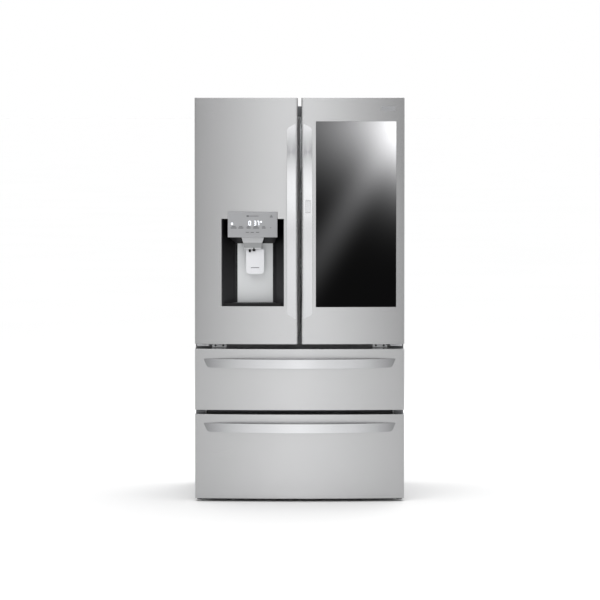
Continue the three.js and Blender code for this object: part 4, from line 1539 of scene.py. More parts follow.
@dataclass(frozen=True)
class Tub:
    """Open-topped moulded bin with drafted walls, round corners and a folded rim.

    Attributes:
        name: The piece's name.
        x: Left and right of the rim.
        y: Front and back of the rim.
        z: Bottom and top.
        body_x: Left and right of the tub under the rim, where the rim overhangs it further.
        wall: Wall thickness.
        corner: Radius of the upright corners.
        draft: Size of the bottom as a share of the top.
        inset: How far the rim stands out from the tub.
        rim: Height of the rim.
    """

    name: str
    x: Range
    y: Range
    z: Range
    body_x: Range | None = None
    wall: float = 0.0025
    corner: float = 0.016
    draft: float = 0.965
    inset: float = 0.003
    rim: float = 0.007

    def build(self) -> Piece:
        """The tub as one closed piece.

        Returns:
            The new piece.
        """
        x = self.body_x or grow(self.x, -self.inset)
        y, floor = grow(self.y, -self.inset), self.z[0]
        tub = box(self.name, x, y, (floor, self.z[1] - 0.0008))
        stretch(tub, lambda c, n: c.z < floor + 1e-4, (self.draft, self.draft, 1), (mid(x), mid(y), floor))
        round_edges(tub, self.corner, 5, lambda c, d: abs(d.z) > 0.9)
        round_edges(tub, self.corner * 0.55, 4, lambda c, d: c.z < floor + 1e-4)
        drop_faces(tub, lambda c, n: n.z > 0.9)
        thicken(tub, self.wall)
        rim = box("rim", self.x, self.y, (self.z[1] - self.rim, self.z[1]))
        round_edges(rim, self.corner * 0.9, 5, along(2))
        well = box("cut", grow(x, -self.wall / 2), grow(y, -self.wall / 2), grow(self.z, 0.01))
        round_edges(well, self.corner - self.wall / 2, 5, along(2))
        carve(rim, well)
        fuse(tub, rim)
        return soften(tub, 0.0007, 2, 45)


@dataclass(frozen=True)
class Shelf:
    """Glass shelf in a moulded frame with a rounded front rail.

    Attributes:
        name: The piece's name.
        body: The frame body that it moves with.
        x: Left and right.
        y: Front and back.
        z: Height of its underside.
        stands_for: Frame nodes that it replaces.
        drop: How far the front rail hangs below.
        high: Height of the frame.
    """

    name: str
    body: str
    x: Range
    y: Range
    z: float
    stands_for: tuple[str, ...] = ()
    drop: float = 0.016
    high: float = 0.0065
    rim: float = 0.014

    def build(self, *extras: Piece) -> None:
        """Build the frame with its rail, and the pane.

        Args:
            extras: Bodies that are moulded in one with the frame.
        """
        level = (self.z, self.z + self.high)
        frame_piece = box(f"{self.name}_frame", self.x, self.y, level)
        carve(frame_piece, box("cut", grow(self.x, -self.rim), grow(self.y, -self.rim), grow(level, 0.01)))
        if self.drop:
            nose = box(
                "nose", self.x, (self.y[0], self.y[0] + 0.0135), (self.z - self.drop, level[1] + 0.0004)
            )
            round_edges(nose, 0.0045, 4, along(0))
            fuse(frame_piece, nose)
        if extras:
            fuse(frame_piece, *extras)
        soften(frame_piece, 0.0007, 2, 45)
        dress(frame_piece, PALE_SILVER, self.body)
        margin = -self.rim - GAP
        pane = box(
            f"{self.name}_pane", grow(self.x, margin), grow(self.y, margin), (
                level[0] + 0.0006, level[0] + 0.005
            )
        )
        soften(pane, 0.0006, 2)
        dress(pane, CLEAR_GLASS, self.body, self.stands_for)


# ---------------------------------------------------------------- inside of the doors


@dataclass
class LeftDoorInside:
    """Inner side of the left door: core with its dykes, seal, bins and ice compartment."""

    body: str = "left_door"
    dykes: tuple[Range, Range] = ((-0.400, -0.388), (-0.092, -0.080))
    dyke_z: Range = (0.722, 1.655)
    back: float = -0.298

    def build(self) -> None:
        """Build every piece of the inner side."""
        self.core()
        Gasket.of_node("left_door_seal", self.body, "left_door_gasket").build()
        for place in ("upper", "lower"):
            door_bin(f"left_bin_{place}", self.body)
        self.ice_box()
        self.mullion()

    def core(self) -> None:
        """Moulded inner panel that closes the pan, with two dykes."""
        x, y, z = node_spans("left_door_liner")
        core = ARC.block("left_door_inner_panel", x, z, self.back, SKIN + GAP)
        recess, (px, py, pz) = Dispenser(), node_spans("control_panel")
        pocket = box("cut", grow(recess.x, 0.006), (-0.45, recess.back - 0.0037), grow(recess.z, 0.006))
        carve(core, pocket, box("cut", grow(px, GAP), (-0.45, py[1] + GAP), grow(pz, GAP)))
        carve(core, box("cut", (x[0] - 0.01, -0.417), (-0.354, -0.28), (1.708, z[1] + 0.01)))
        bore = rod("cut", Axis.Z, (-0.434, -0.322, z[0] + 0.0085), 0.0053, 0.027)
        carve(core, bore, rod("cut", Axis.Z, (-0.434, -0.322, 1.699), 0.0053, 0.024))
        for span in self.dykes:
            dyke = box("dyke", span, (self.back - 0.002, -0.200), self.dyke_z)
            round_edges(dyke, 0.030, 6, lambda c, d: abs(d.x) > 0.99 and c.y > -0.21)
            round_edges(dyke, 0.004, 3, lambda c, d: c.y > self.back + 0.004 and abs(d.x) < 0.5)
            fuse(core, dyke)
        sill = box(
            "sill", (self.dykes[0][1] - 0.002, self.dykes[1][0] + 0.002), (self.back - 0.002, -0.270), (
                0.722, 0.736
            )
        )
        round_edges(sill, 0.005, 3, lambda c, d: abs(d.x) > 0.99 and c.y > -0.28)
        fuse(core, sill)
        dress(core, LINER, self.body, ["left_door_liner"])

    def ice_box(self) -> None:
        """Insulated ice compartment with its cover above and its bin below."""
        x, y, z = node_spans("ice_compartment")
        case = box("ice_compartment_case", x, y, z)
        round_edges(case, 0.012, 5, lambda c, d: c.y > y[1] - 1e-4)
        carve(case, box("cut", grow(x, -0.012), (y[0] + 0.012, y[1] + 0.01), grow(z, -0.012)))
        soften(case, 0.0008, 2, 50)
        dress(case, LINER, self.body, ["ice_compartment"])
        inside = grow(x, -0.0126)
        split = z[0] + 0.185
        cover = box(
            "ice_compartment_cover", inside, (y[1] - 0.011, y[1] - 0.003), (split + 0.001, z[1] - 0.0126)
        )
        round_edges(cover, 0.004, 3, lambda c, d: c.y > y[1] - 0.004)
        latch = box(
            "cut", (mid(x) - 0.035, mid(x) + 0.035), (y[1] - 0.007, y[1]), (split - 0.01, split + 0.016)
        )
        carve(cover, round_edges(latch, 0.004, 4, along(1)))
        dress(cover, LINER, self.body)
        bin_z = (z[0] + 0.0126, split - 0.001)
        front = box("ice_bin", inside, (y[0] + 0.014, y[1] - 0.003), bin_z)
        round_edges(front, 0.010, 5, lambda c, d: c.y > y[1] - 0.004 and abs(d.z) > 0.9)
        drop_faces(front, lambda c, n: n.z > 0.9)
        thicken(front, 0.003)
        grip = box(
            "grip", (mid(x) - 0.06, mid(x) + 0.06), (y[1] - 0.0045, y[1] - 0.0005), (
                bin_z[1] - 0.030, bin_z[1] - 0.018
            )
        )
        fuse(front, round_edges(grip, 0.0016, 3, lambda c, d: c.y > y[1] - 0.001))
        soften(front, 0.0007, 2, 50)
        dress(front, CLEAR_PLASTIC, self.body)

    def mullion(self) -> None:
        """Flipping mullion: grooved bar, end blocks and three knuckles."""
        x, y, z = (-0.042, 0.003), (-0.2857, -0.262), (0.724, 1.660)
        bar = box("mullion_bar_body", x, y, z)
        round_edges(bar, 0.005, 4, lambda c, d: abs(d.z) > 0.99 and c.y > y[1] - 1e-4)
        groove = box("cut", (x[0] + 0.014, x[1] - 0.008), (y[0] - 0.01, y[0] + 0.0012), grow(z, -0.02))
        carve(bar, groove)
        soften(bar, 0.0009, 2, 50)
        parts = []
        for height in (0.780, 1.192, 1.604):
            parts.append(rod("knuckle", Axis.Z, (-0.038, -0.290, height), 0.0040, 0.040, 24))
            parts.append(box("web", (-0.040, -0.036), (-0.290, y[0] + 0.001), grow((height, height), 0.0199)))
        gather(bar, *parts)
        dress(bar, MULLION_GREY, "mullion_bar", ["mullion"])
        heater = box(
            "mullion_strip", (x[0] + 0.0145, x[1] - 0.0085), (y[0] + 0.0002, y[0] + 0.0011), grow(z, -0.0205)
        )
        dress(soften(heater, 0.0003, 2), STRIP_GREY, "mullion_bar")


def door_bin(node: str, body: str) -> None:
    """A door bin with a bright band along its room side.

    Args:
        node: The frame node that it replaces.
        body: The frame body that it moves with.
    """
    x, y, z = node_spans(node)
    dress(Tub(f"{node}_tub", x, (y[0], y[1] - 0.0022), z).build(), CLEAR_PLASTIC, body, [node])
    band = box(f"{node}_band", grow(x, -0.012), (y[1] - 0.0046, y[1]), (z[1] - 0.034, z[1] - 0.0102))
    carve(band, box("cut", grow(x, -0.0135), (y[1] - 0.006, y[1] - 0.0018), (z[1] - 0.0325, z[1] - 0.0117)))
    soften(band, 0.0006, 2)
    dress(band, SILVER_PLASTIC, body)


@dataclass
class InnerDoor:
    """Inner frame of the right door with its seals and bins."""

    body: str = "inner_door"
    plate_x: Range = (0.010, 0.452)
    plate_y: Range = (-0.332, -0.298)
    plate_z: Range = (0.690, 1.708)
    open_x: Range = (0.064, 0.396)
    open_z: Range = (0.742, 1.652)
    box_back: float = -0.190
    pin: tuple[float, float] = (0.444, -0.354)

    def build(self) -> None:
        """Build every piece of the inner door."""
        self.frame()
        Gasket.of_node("inner_door_seal", self.body, "inner_door_gasket").build()
        seal_x, seal_z = grow(self.open_x, 0.016), grow(self.open_z, 0.016)
        Gasket("outer_door_seal", "outer_door", seal_x, (-0.3397, -0.3323), seal_z, (), 0.012).build()
        for place in ("upper", "lower"):
            door_bin(f"inner_bin_{place}", self.body)

    def frame(self) -> None:
        """Moulded frame with a deep sleeve, and the outer door's two hinge pins."""
        body = box("inner_door_panel", self.plate_x, self.plate_y, self.plate_z)
        round_edges(body, 0.003, 3, lambda c, d: c.y > self.plate_y[1] - 1e-4)
        sleeve = box(
            "sleeve", grow(self.open_x, 0.006), (self.plate_y[1] - 0.002, self.box_back), grow(
                self.open_z, 0.006
            )
        )
        round_edges(sleeve, 0.004, 3, lambda c, d: c.y > self.box_back - 1e-4)
        fuse(body, sleeve)
        well = box("cut", self.open_x, (-0.34, self.box_back + 0.01), self.open_z)
        carve(body, round_edges(well, 0.005, 4, along(1)))
        bores = [rod("cut", Axis.Z, (0.434, -0.322, z), 0.0053, 0.028) for z in (0.693, 1.702)]
        carve(body, *bores)
        dress(body, LINER, self.body, ["inner_door_frame"])
        ears = []
        for low, high, pin_z in ((1.699, 1.707, (1.680, 1.706)), (0.691, 0.697, (0.691, 0.714))):
            ear = box("ear", grow((self.pin[0],) * 2, 0.008), (self.pin[1], -0.3323), (low, high))
            fuse(ear, rod("eye", Axis.Z, (*self.pin, (low + high) / 2), 0.0079, high - low - 0.0001))
            pin = rod("pin", Axis.Z, (*self.pin, mid(pin_z)), 0.004, pin_z[1] - pin_z[0], 20)
            ears.append(soften(fuse(ear, pin), 0.0005, 2, 50))
        hinge = gather(*ears)
        hinge.name = hinge.data.name = "outer_door_hinge_pins"
        dress(hinge, ZINC, self.body)


# ---------------------------------------------------------------- fridge interior


@dataclass
class FridgeInterior:
    """Liner, shelves, crispers, duct, light and filter of the fridge."""

    half: float = 0.410
    back: float = 0.395
    z: Range = (0.716, 1.668)
    wall: float = 0.004
    body: str = "cabinet"

    def build(self) -> None:
        """Build every piece of the interior."""
        self.liner()
        self.tracks()
        self.shelves()
        self.fold_shelf()
        self.crispers()
        self.duct()
        self.light()
        self.water_filter()

    def liner(self) -> None:
        """White liner with round inner corners and the ledges of its side walls."""
        x, y, z = grow((-self.half, self.half), -GAP), (-0.286, self.back - GAP), grow(self.z, -GAP)
        liner = box("fridge_liner_shell", x, y, z)
        room = box(
            "cut", grow((-self.half, self.half), -self.wall), (-0.30, self.back - self.wall), grow(
                self.z, -self.wall
            )
        )
        round_edges(room, 0.022, 5, lambda c, d: c.y > -0.295)
        carve(liner, room)
        round_edges(
            liner, 0.0025, 3, lambda c, d: c.y < -0.2859 and abs(c.x) < 0.4065 and 0.7195 < c.z < 1.6645
        )
        inner = self.half - self.wall
        for level, span in (
            (1.4457, (-0.060, 0.370)), (1.2117, (-0.060, 0.370)), (0.9757, (-0.060, 0.370)), (
                0.938, (-0.095, 0.300)
            )
        ):
            for side in (-1, 1):
                ledge = box(
                    "ledge", side_span(side, inner - 0.008, inner + 0.001), span, (level - 0.008, level)
                )
                round_edges(ledge, 0.0035, 3, lambda c, d: abs(c.x) < inner - 0.007 and abs(d.x) < 0.1)
                fuse(liner, ledge)
        dress(liner, LINER, self.body, ["fridge_liner"])

    def tracks(self) -> None:
        """Three slotted shelf tracks on the back wall."""
        wall = self.back - self.wall
        track = box("shelf_tracks", (-0.298, -0.282), (wall - 0.004, wall - GAP), (1.020, 1.640))
        slots = box("cut", (-0.2925, -0.2875), (wall - 0.006, wall - 0.0012), (1.032, 1.046))
        row(slots, 25, (0, 0, 0.0241))
        carve(track, slots)
        dress(scatter(track, [(0.290, 0, 0), (0.580, 0, 0)]), ZINC, self.body)

    def shelves(self) -> None:
        """Upper shelf, left half shelf on its bracket, and the shelf over the crispers."""
        y = (-0.110, 0.385)
        Shelf("upper_shelf", self.body, (-0.403, 0.403), y, 1.446, ("shelf_upper",)).build()
        Shelf("half_shelf", self.body, (-0.403, -0.008), y, 1.212, ("shelf_middle_left",)).build()
        bracket = box("half_shelf_bracket", (-0.014, -0.010), (-0.060, 0.385), (1.160, 1.2117))
        shift(bracket, lambda c, n: c.y < 0 and c.z < 1.17, (0, 0, 0.038))
        dress(soften(bracket, 0.0008, 2), ZINC, self.body)
        Shelf("crisper_shelf", self.body, (-0.403, 0.403), y, 0.976, ("crisper_shelf",)).build()
        divider = box("crisper_divider", (-0.006, 0.006), (-0.090, 0.300), (0.724, 0.9757))
        rails = box("rails", (-0.014, 0.014), (-0.0899, 0.2999), (0.930, 0.938))
        fuse(divider, rails)
        dress(soften(divider, 0.0009, 2), LINER, self.body)

    def fold_shelf(self) -> None:
        """Folding half shelf: the fixed rear half on two arms, and the sliding front half."""
        arms = []
        for span, link in (((0.008, 0.024), (0.008, 0.015)), ((0.384, 0.397), (0.395, 0.397))):
            arms.append(box("arm", span, (-0.090, 0.3849), (1.184, 1.2047)))
            arms.append(box("link", link, (0.1381, 0.3848), (1.190, 1.2125)))
        rear = Shelf(
            "fold_shelf_back", self.body, (0.008, 0.403), (0.138, 0.385), 1.212, ("fold_shelf_rear",), 0.0
        )
        rear.build(*arms)
        front = Shelf(
            "fold_shelf_slider", "fold_shelf", (0.016, 0.394), (-0.110, 0.136), 1.2045, ("fold_shelf_front",), 0.0, 0.0054
        )
        nose = box("nose", (0.028, 0.382), (-0.110, -0.098), (1.190, 1.2098))
        front.build(round_edges(nose, 0.004, 4, along(0)))

    def crispers(self) -> None:
        """Two clear drawers with a rim that slides on the ledges and a pull."""
        tub = Tub("crisper_right_tub", (0.009, 0.403), (-0.100, 0.290), (0.735, 0.946), (0.016, 0.394), rim=0.0077, inset=0.0).build(
            
        )
        copy = mirrored(tub, "crisper_left_tub")
        pull = box("crisper_right_pull", (0.120, 0.290), (-0.108, -0.1003), (0.918, 0.946))
        round_edges(pull, 0.004, 3, lambda c, d: c.y < -0.107)
        carve(pull, box("cut", (0.126, 0.284), (-0.1045, -0.090), (0.91, 0.940)))
        soften(pull, 0.0008, 2, 50)
        other = mirrored(pull, "crisper_left_pull")
        for side, tub_piece, pull_piece in (("right", tub, pull), ("left", copy, other)):
            dress(tub_piece, CLEAR_PLASTIC, f"{side}_crisper", [f"crisper_{side}"])
            dress(pull_piece, SILVER_PLASTIC, f"{side}_crisper")

    def duct(self) -> None:
        """Air duct cover on the back wall, in two lengths between the shelves, with vents."""
        wall = self.back - self.wall - GAP
        for name, z, rows in (("air_duct_upper", (1.470, 1.625), 4), ("air_duct_lower", (1.232, 1.436), 6)):
            cover = box(name, (0.034, 0.256), (wall - 0.028, wall), z)
            round_edges(cover, 0.009, 4, lambda c, d: c.y < wall - 0.0275)
            vent = box("cut", (0.062, 0.228), (wall - 0.03, wall - 0.020), (z[0] + 0.022, z[0] + 0.029))
            round_edges(vent, 0.003, 3, along(1))
            row(vent, rows, (0, 0, 0.024))
            dress(carve(cover, vent), LINER, self.body)

    def light(self) -> None:
        """Light panel under the ceiling."""
        top = self.z[1] - self.wall - GAP
        frame_piece = box("ceiling_light_frame", (-0.150, 0.150), (-0.120, 0.060), (top - 0.009, top))
        round_edges(frame_piece, 0.006, 3, lambda c, d: c.z < top - 0.0085)
        carve(frame_piece, box("cut", (-0.136, 0.136), (-0.106, 0.046), (top - 0.02, top - 0.004)))
        dress(frame_piece, LINER, self.body)
        lens = box("ceiling_light_lens", (-0.1355, 0.1355), (-0.1055, 0.0455), (top - 0.0085, top - 0.0043))
        dress(round_edges(lens, 0.002, 3, lambda c, d: c.z < top - 0.008), LIGHT_LENS, self.body)

    def water_filter(self) -> None:
        """Water filter cartridge in its holder under the ceiling."""
        top = self.z[1] - self.wall - GAP
        holder = box("filter_holder", (0.300, 0.372), (0.060, 0.240), (top - 0.022, top))
        round_edges(holder, 0.008, 4, lambda c, d: c.z < top - 0.0215)
        dress(holder, LINER, self.body)
        barrel = rod("filter_cartridge", Axis.Y, (0.336, 0.075, top - 0.050), 0.0275, 0.250, 40)
        round_edges(barrel, 0.006, 4, lambda c, d: abs(c.y - 0.075) > 0.124)
        knob = box("knob", (0.331, 0.341), (-0.060, -0.040), (top - 0.070, top - 0.030))
        fuse(barrel, knob)
        dress(soften(barrel, 0.0008, 2, 50), LINER, self.body)


# ---------------------------------------------------------------- freezer


@dataclass
class FreezerInterior:
    """Freezer liner, its rails and the rail between the drawers."""

    half: float = 0.410
    body: str = "cabinet"

    def build(self) -> None:
        """Build every piece of the freezer's room."""
        self.liner()
        self.rails()
        self.divider()

    def room(self, name: str, inset: float, front: float, radius: float) -> Piece:
        """The stepped room as a solid, made smaller by an inset.

        Args:
            name: The solid's name.
            inset: How much smaller all round.
            front: Y of its open front.
            radius: Corner radius, or 0 for none.

        Returns:
            The solid.
        """
        x = grow((-self.half, self.half), -inset)
        low = box(name, x, (front, 0.200 - inset), grow((0.092, 0.632), -inset))
        high = box(
            "high", grow(x, -0.00001), (front + 0.001, 0.390 - inset), (
                0.300 + inset, 0.632 - inset - 0.00001
            )
        )
        fuse(low, high)
        if radius:
            round_edges(
                low, radius, 4, lambda c, d: c.y > front + 0.01 and abs(abs(c.x) - x[1]) < 1e-4 and not (
                    abs(c.z - 0.300) < 0.01 and c.y < 0.19
                )
            )
        return low

    def liner(self) -> None:
        """White stepped liner."""
        liner = self.room("freezer_liner_shell", GAP, -0.286, 0.0)
        carve(liner, self.room("cut", 0.0035, -0.30, 0.0))
        round_edges(
            liner, 0.002, 3, lambda c, d: c.y < -0.2859 and abs(c.x) < 0.4068 and 0.0950 < c.z < 0.6290
        )
        dress(liner, LINER, self.body, ["freezer_liner"])

    def rails(self) -> None:
        """Plate with two channel rails on each side wall."""
        wall = self.half - 0.0035 - GAP
        plate = box("freezer_rails_right_side", (wall - 0.003, wall), (-0.240, 0.180), (0.200, 0.530))
        for low, high in ((0.275, 0.455),):
            window = box("cut", (wall - 0.01, wall + 0.01), (-0.200, 0.140), (low, high))
            carve(plate, round_edges(window, 0.02, 5, along(0)))
        for slide in (0.495, 0.235):
            rail = box("rail", (wall - 0.012, wall - 0.002), (-0.240, 0.180), grow((slide, slide), 0.018))
            carve(rail, box("cut", (wall - 0.014, wall - 0.005), (-0.25, 0.19), grow((slide, slide), 0.0148)))
            fuse(plate, rail)
        soften(plate, 0.0006, 2, 50)
        dress(mirrored(plate, "freezer_rails_left_side"), ZINC, self.body, ["freezer_rails_left"])
        dress(plate, ZINC, self.body, ["freezer_rails_right"])

    def divider(self) -> None:
        """Rail that both drawers seal against, and the trim under the doors."""
        x, y, z = node_spans("drawer_rail")
        dress(soften(box("drawer_rail_bar", x, y, z), 0.003, 3), RAIL_GREY, self.body, ["drawer_rail"])
        x, y, z = node_spans("middle_rail")
        trim = box("middle_trim", x, y, z)
        slice_at(trim, [z[0] + 0.0075, z[0] + 0.0085], Axis.Z)
        shift(trim, lambda c, n: c.y < y[0] + 1e-4 and c.z < z[0] + 0.0078, (0, 0.0016, 0))
        dress(
            round_edges(trim, 0.0012, 2, lambda c, d: abs(d.x) > 0.99 and c.y < y[0] + 0.001), TRIM_GREY, self.body, ["middle_rail"]
        )


def drawer_inside(name: str) -> None:
    """Seal, basket, side bars and slide members of one drawer.

    Args:
        name: middle or lower.
    """
    body = f"{name}_drawer"
    Gasket.of_node(f"{name}_drawer_seal", body, f"{name}_drawer_gasket").build()
    x, y, z = node_spans(f"{name}_drawer_basket")
    tub_z = {"middle": (0.436, 0.600), "lower": (0.106, 0.330)}[name]
    slide = {"middle": 0.495, "lower": 0.235}[name]
    tub = Tub(f"{name}_drawer_tub", (-0.373, 0.373), y, tub_z, wall=0.0035, corner=0.024, draft=0.97).build()
    dress(tub, CLEAR_PLASTIC, body, [f"{name}_drawer_basket"])
    bar = box(f"{name}_drawer_side_bars", (0.3733, x[1]), (y[0] + 0.030, y[1]), grow((slide, slide), 0.014))
    carve(bar, box("cut", (0.3765, x[1] + 0.01), (y[0] + 0.02, y[1] + 0.01), grow((slide, slide), 0.0108)))
    soften(bar, 0.0006, 2, 50)
    dress(gather(bar, mirrored(bar, "bar")), ZINC, body)
    sx, sy, sz = node_spans(f"{name}_slide_members")
    member = box(f"{name}_slide_bars", (0.3864, sx[1]), sy, grow((slide, slide), 0.014))
    for face in (-1, 1):
        channel = (0.380, 0.3888) if face < 0 else (0.3915, 0.400)
        carve(member, box("cut", channel, (sy[0] - 0.01, sy[1] - 0.0105), grow((slide, slide), 0.0095)))
    soften(member, 0.0005, 2, 50)
    tie = box("tie", (-0.3862, 0.3862), (sy[1] - 0.010, sy[1]), (slide - 0.006, slide + 0.006))
    dress(
        gather(member, mirrored(member, "member"), soften(tie, 0.0012, 3)), ZINC, f"{name}_slides", [f"{name}_slide_members"]
    )


# ---------------------------------------------------------------- cabinet


@dataclass
class Cabinet:
    """Wrapper, hinges and their covers, feet, rollers, base grille and rear cover."""

    half: float = 0.452
    front: float = -0.286
    back: float = 0.452
    z: Range = (0.028, 1.712)
    sheet: float = 0.002
    body: str = "cabinet"
    hinge: tuple[float, float] = (-0.434, -0.322)

    def build(self) -> None:
        """Build every piece of the cabinet's outside."""
        self.wrapper()
        self.top_hinges()
        self.middle_hinges()
        self.grille()
        self.legs()
        self.rollers()
        self.rear_cover()

    def wrapper(self) -> None:
        """Folded steel wrapper with its openings, pressed back ribs and roller ears."""
        x, y = (-self.half, self.half), (self.front, self.back)
        shell = box("cabinet_wrapper", x, y, self.z)
        round_edges(shell, 0.0035, 3, lambda c, d: abs(d.y) > 0.99 or abs(d.z) > 0.99)
        room = box("cut", grow(x, -self.sheet), grow(y, -self.sheet), grow(self.z, -self.sheet))
        mouth = (self.front - 0.01, self.front + 0.01)
        fridge = box("cut", (-0.410, 0.410), mouth, (0.716, 1.668))
        freezer = box("cut", (-0.410, 0.410), mouth, (0.092, 0.632))
        bay = box("cut", (-0.400, 0.400), (self.back - 0.01, self.back + 0.01), (0.060, 0.275))
        carve(shell, room, fridge, freezer, bay)
        for place in (-0.26, 0.0, 0.26):
            rib = box(
                "rib", (place - 0.008, place + 0.008), (self.back - 0.001, self.back + 0.0018), (0.42, 1.62)
            )
            fuse(shell, round_edges(rib, 0.0015, 2, lambda c, d: c.y > self.back + 0.0017))
        for side in (-1, 1):
            for near in (0.380, 0.415):
                ear = box("ear", side_span(side, near, near + 0.005), (0.386, 0.414), (0.005, 0.029))
                carve(ear, rod("cut", Axis.X, (side * near, 0.400, 0.014), 0.0043, 0.03, 20))
                fuse(shell, round_edges(ear, 0.004, 3, lambda c, d: abs(d.x) > 0.99 and c.z < 0.006))
        dress(shell, CASE_GREY, self.body, ["cabinet_shell"])

    def top_hinges(self) -> None:
        """Top hinge on the left, copied to the right, each under a moulded cover."""
        hx, hy = self.hinge
        z = (self.z[1] + GAP, self.z[1] + 0.0063)
        arm = box("top_hinge_left_arm", (hx - 0.014, hx + 0.034), (self.front + 0.014, -0.200), z)
        fuse(
            arm, box(
                "reach", (hx - 0.0139, hx + 0.0139), (hy, self.front + 0.030), (z[0] + 1e-5, z[1] - 1e-5)
            )
        )
        fuse(arm, rod("eye", Axis.Z, (hx, hy, mid(z)), 0.014, 0.0058, 40))
        fuse(arm, rod("pin", Axis.Z, (hx, hy, (1.690 + z[1] + 0.006) / 2), 0.005, z[1] + 0.006 - 1.690, 24))
        soften(arm, 0.0006, 2, 50)
        cover = box("top_hinge_cover_left", (hx - 0.0155, hx + 0.042), (hy + 0.034, -0.120), (z[0], 1.7420))
        nose = box("nose", (hx - 0.0154, hx + 0.0154), (hy, hy + 0.036), (z[0] + 1e-5, 1.7419))
        fuse(cover, nose, rod("nose", Axis.Z, (hx, hy, mid((z[0], 1.7418))), 0.0153, 1.7417 - z[0], 40))
        plate = box(
            "cut", (hx - 0.0143, hx + 0.0343), (self.front + 0.0137, -0.1997), (z[0] - 0.01, z[1] + GAP)
        )
        reach = box(
            "cut", (hx - 0.01431, hx + 0.0143), (hy, self.front + 0.0303), (z[0] - 0.01, z[1] + GAP + 1e-5)
        )
        eye = rod("cut", Axis.Z, (hx, hy, z[1] - 0.0045), 0.01435, 0.0106, 40)
        pin = rod("cut", Axis.Z, (hx, hy, z[1]), 0.0056, 0.0140, 24)
        carve(cover, plate, reach, eye, pin)
        soften(cover, 0.0009, 3, 50)
        other_arm, other_cover = mirrored(arm, "top_hinge_right_arm"), mirrored(
            cover, "top_hinge_cover_right"
        )
        dress(arm, ZINC, self.body, ["top_hinge_left"])
        dress(other_arm, ZINC, self.body, ["top_hinge_right"])
        for piece in (cover, other_cover):
            dress(piece, GREY_PLASTIC, self.body)

    def middle_hinges(self) -> None:
        """Middle hinges: a face plate with two dark screws, a bent arm and a pin."""
        hx, hy = self.hinge
        back = -0.2903
        plate = box("middle_hinge_left_plate", (-0.381, -0.318), (back - 0.0057, back), (0.665, 0.681))
        arm = box("arm", (hx - 0.0108, -0.378), (hy - 0.011, back - 1e-5), (0.674, 0.680))
        slice_at(arm, [-0.394], Axis.X)
        shift(arm, lambda c, n: c.x > -0.3785 and c.y < hy, (0, 0.0365, 0))
        fuse(arm, rod("eye", Axis.Z, (hx, hy, 0.677), 0.01095, 0.00598, 32))
        fuse(plate, arm, rod("pin", Axis.Z, (hx, hy, 0.6915), 0.005, 0.025, 24))
        soften(plate, 0.0005, 2, 50)
        dress(mirrored(plate, "middle_hinge_right_plate"), HINGE_ZINC, self.body, ["middle_hinge_right"])
        dress(plate, HINGE_ZINC, self.body, ["middle_hinge_left"])
        first = screw("middle_hinge_screws", -1, (-0.366, back - 0.0057, 0.6730), 0.0046)
        heads = scatter(first, [(0.034, 0, 0), (0.698, 0, 0), (0.732, 0, 0)])
        dress(heads, BLACK_METAL, self.body)

    def grille(self) -> None:
        """Base grille with rounded slots."""
        x, y, z = node_spans("base_grille")
        grille = box("base_grille_strip", x, y, z)
        slot = round_edges(box("cut", (-0.374, -0.346), (-0.29, -0.27), (0.011, 0.021)), 0.0045, 4, along(1))
        row(slot, 19, (0.04, 0, 0))
        carve(grille, slot)
        dress(soften(grille, 0.0006, 2, 50), GREY_PLASTIC, self.body, ["base_grille"])

    def legs(self) -> None:
        """Levelling leg: pad, nut and threaded stem; modelled on the left and mirrored."""
        centre = (-0.437, -0.268)
        leg = rod("levelling_leg_left", Axis.Z, (*centre, 0.002), 0.011, 0.004, 40)
        round_edges(leg, 0.0012, 2, lambda c, d: abs(d.z) < 0.1)
        fuse(leg, rod("nut", Axis.Z, (*centre, 0.0062), 0.0096, 0.0062, 6))
        stem = rod("stem", Axis.Z, (*centre, 0.0168), 0.005, 0.0215, 20)
        crests = [0.0100 + 0.0016 * i for i in range(11)]
        slice_at(stem, [c - 0.0004 for c in crests] + [c + 0.0004 for c in crests], Axis.Z)
        stretch(
            stem, lambda c, n: any(abs(c.z - k - 0.0004) < 1e-5 for k in crests), (0.86, 0.86, 1), (
                *centre, 0.01
            )
        )
        leg = gather(leg, stem)
        other = mirrored(leg, "levelling_leg_right")
        dress(leg, BLACK_METAL, "left_leg", ["leg_left"])
        dress(other, BLACK_METAL, "right_leg", ["leg_right"])

    def rollers(self) -> None:
        """Two rear rollers with dished faces on one axle."""
        wheel = rod("rear_roller_wheels", Axis.X, (-0.400, 0.400, 0.014), 0.0138, 0.022, 48)
        for side in (-1, 1):
            carve(wheel, rod("cut", Axis.X, (-0.400 + side * 0.011, 0.400, 0.014), 0.0098, 0.006, 32))
        carve(wheel, rod("cut", Axis.X, (-0.400, 0.400, 0.014), 0.00415, 0.03, 24))
        soften(wheel, 0.0012, 3, 50)
        dress(scatter(wheel, [(0.8, 0, 0)]), BLACK_PLASTIC, "rollers", ["rear_rollers"])
        axle = round_edges(
            rod("rear_roller_axle", Axis.X, (0, 0.400, 0.014), 0.004, 0.842, 24), 0.0008, 2, lambda c, d: abs(c.x) > 0.42
        )
        dress(axle, ZINC, "rollers")

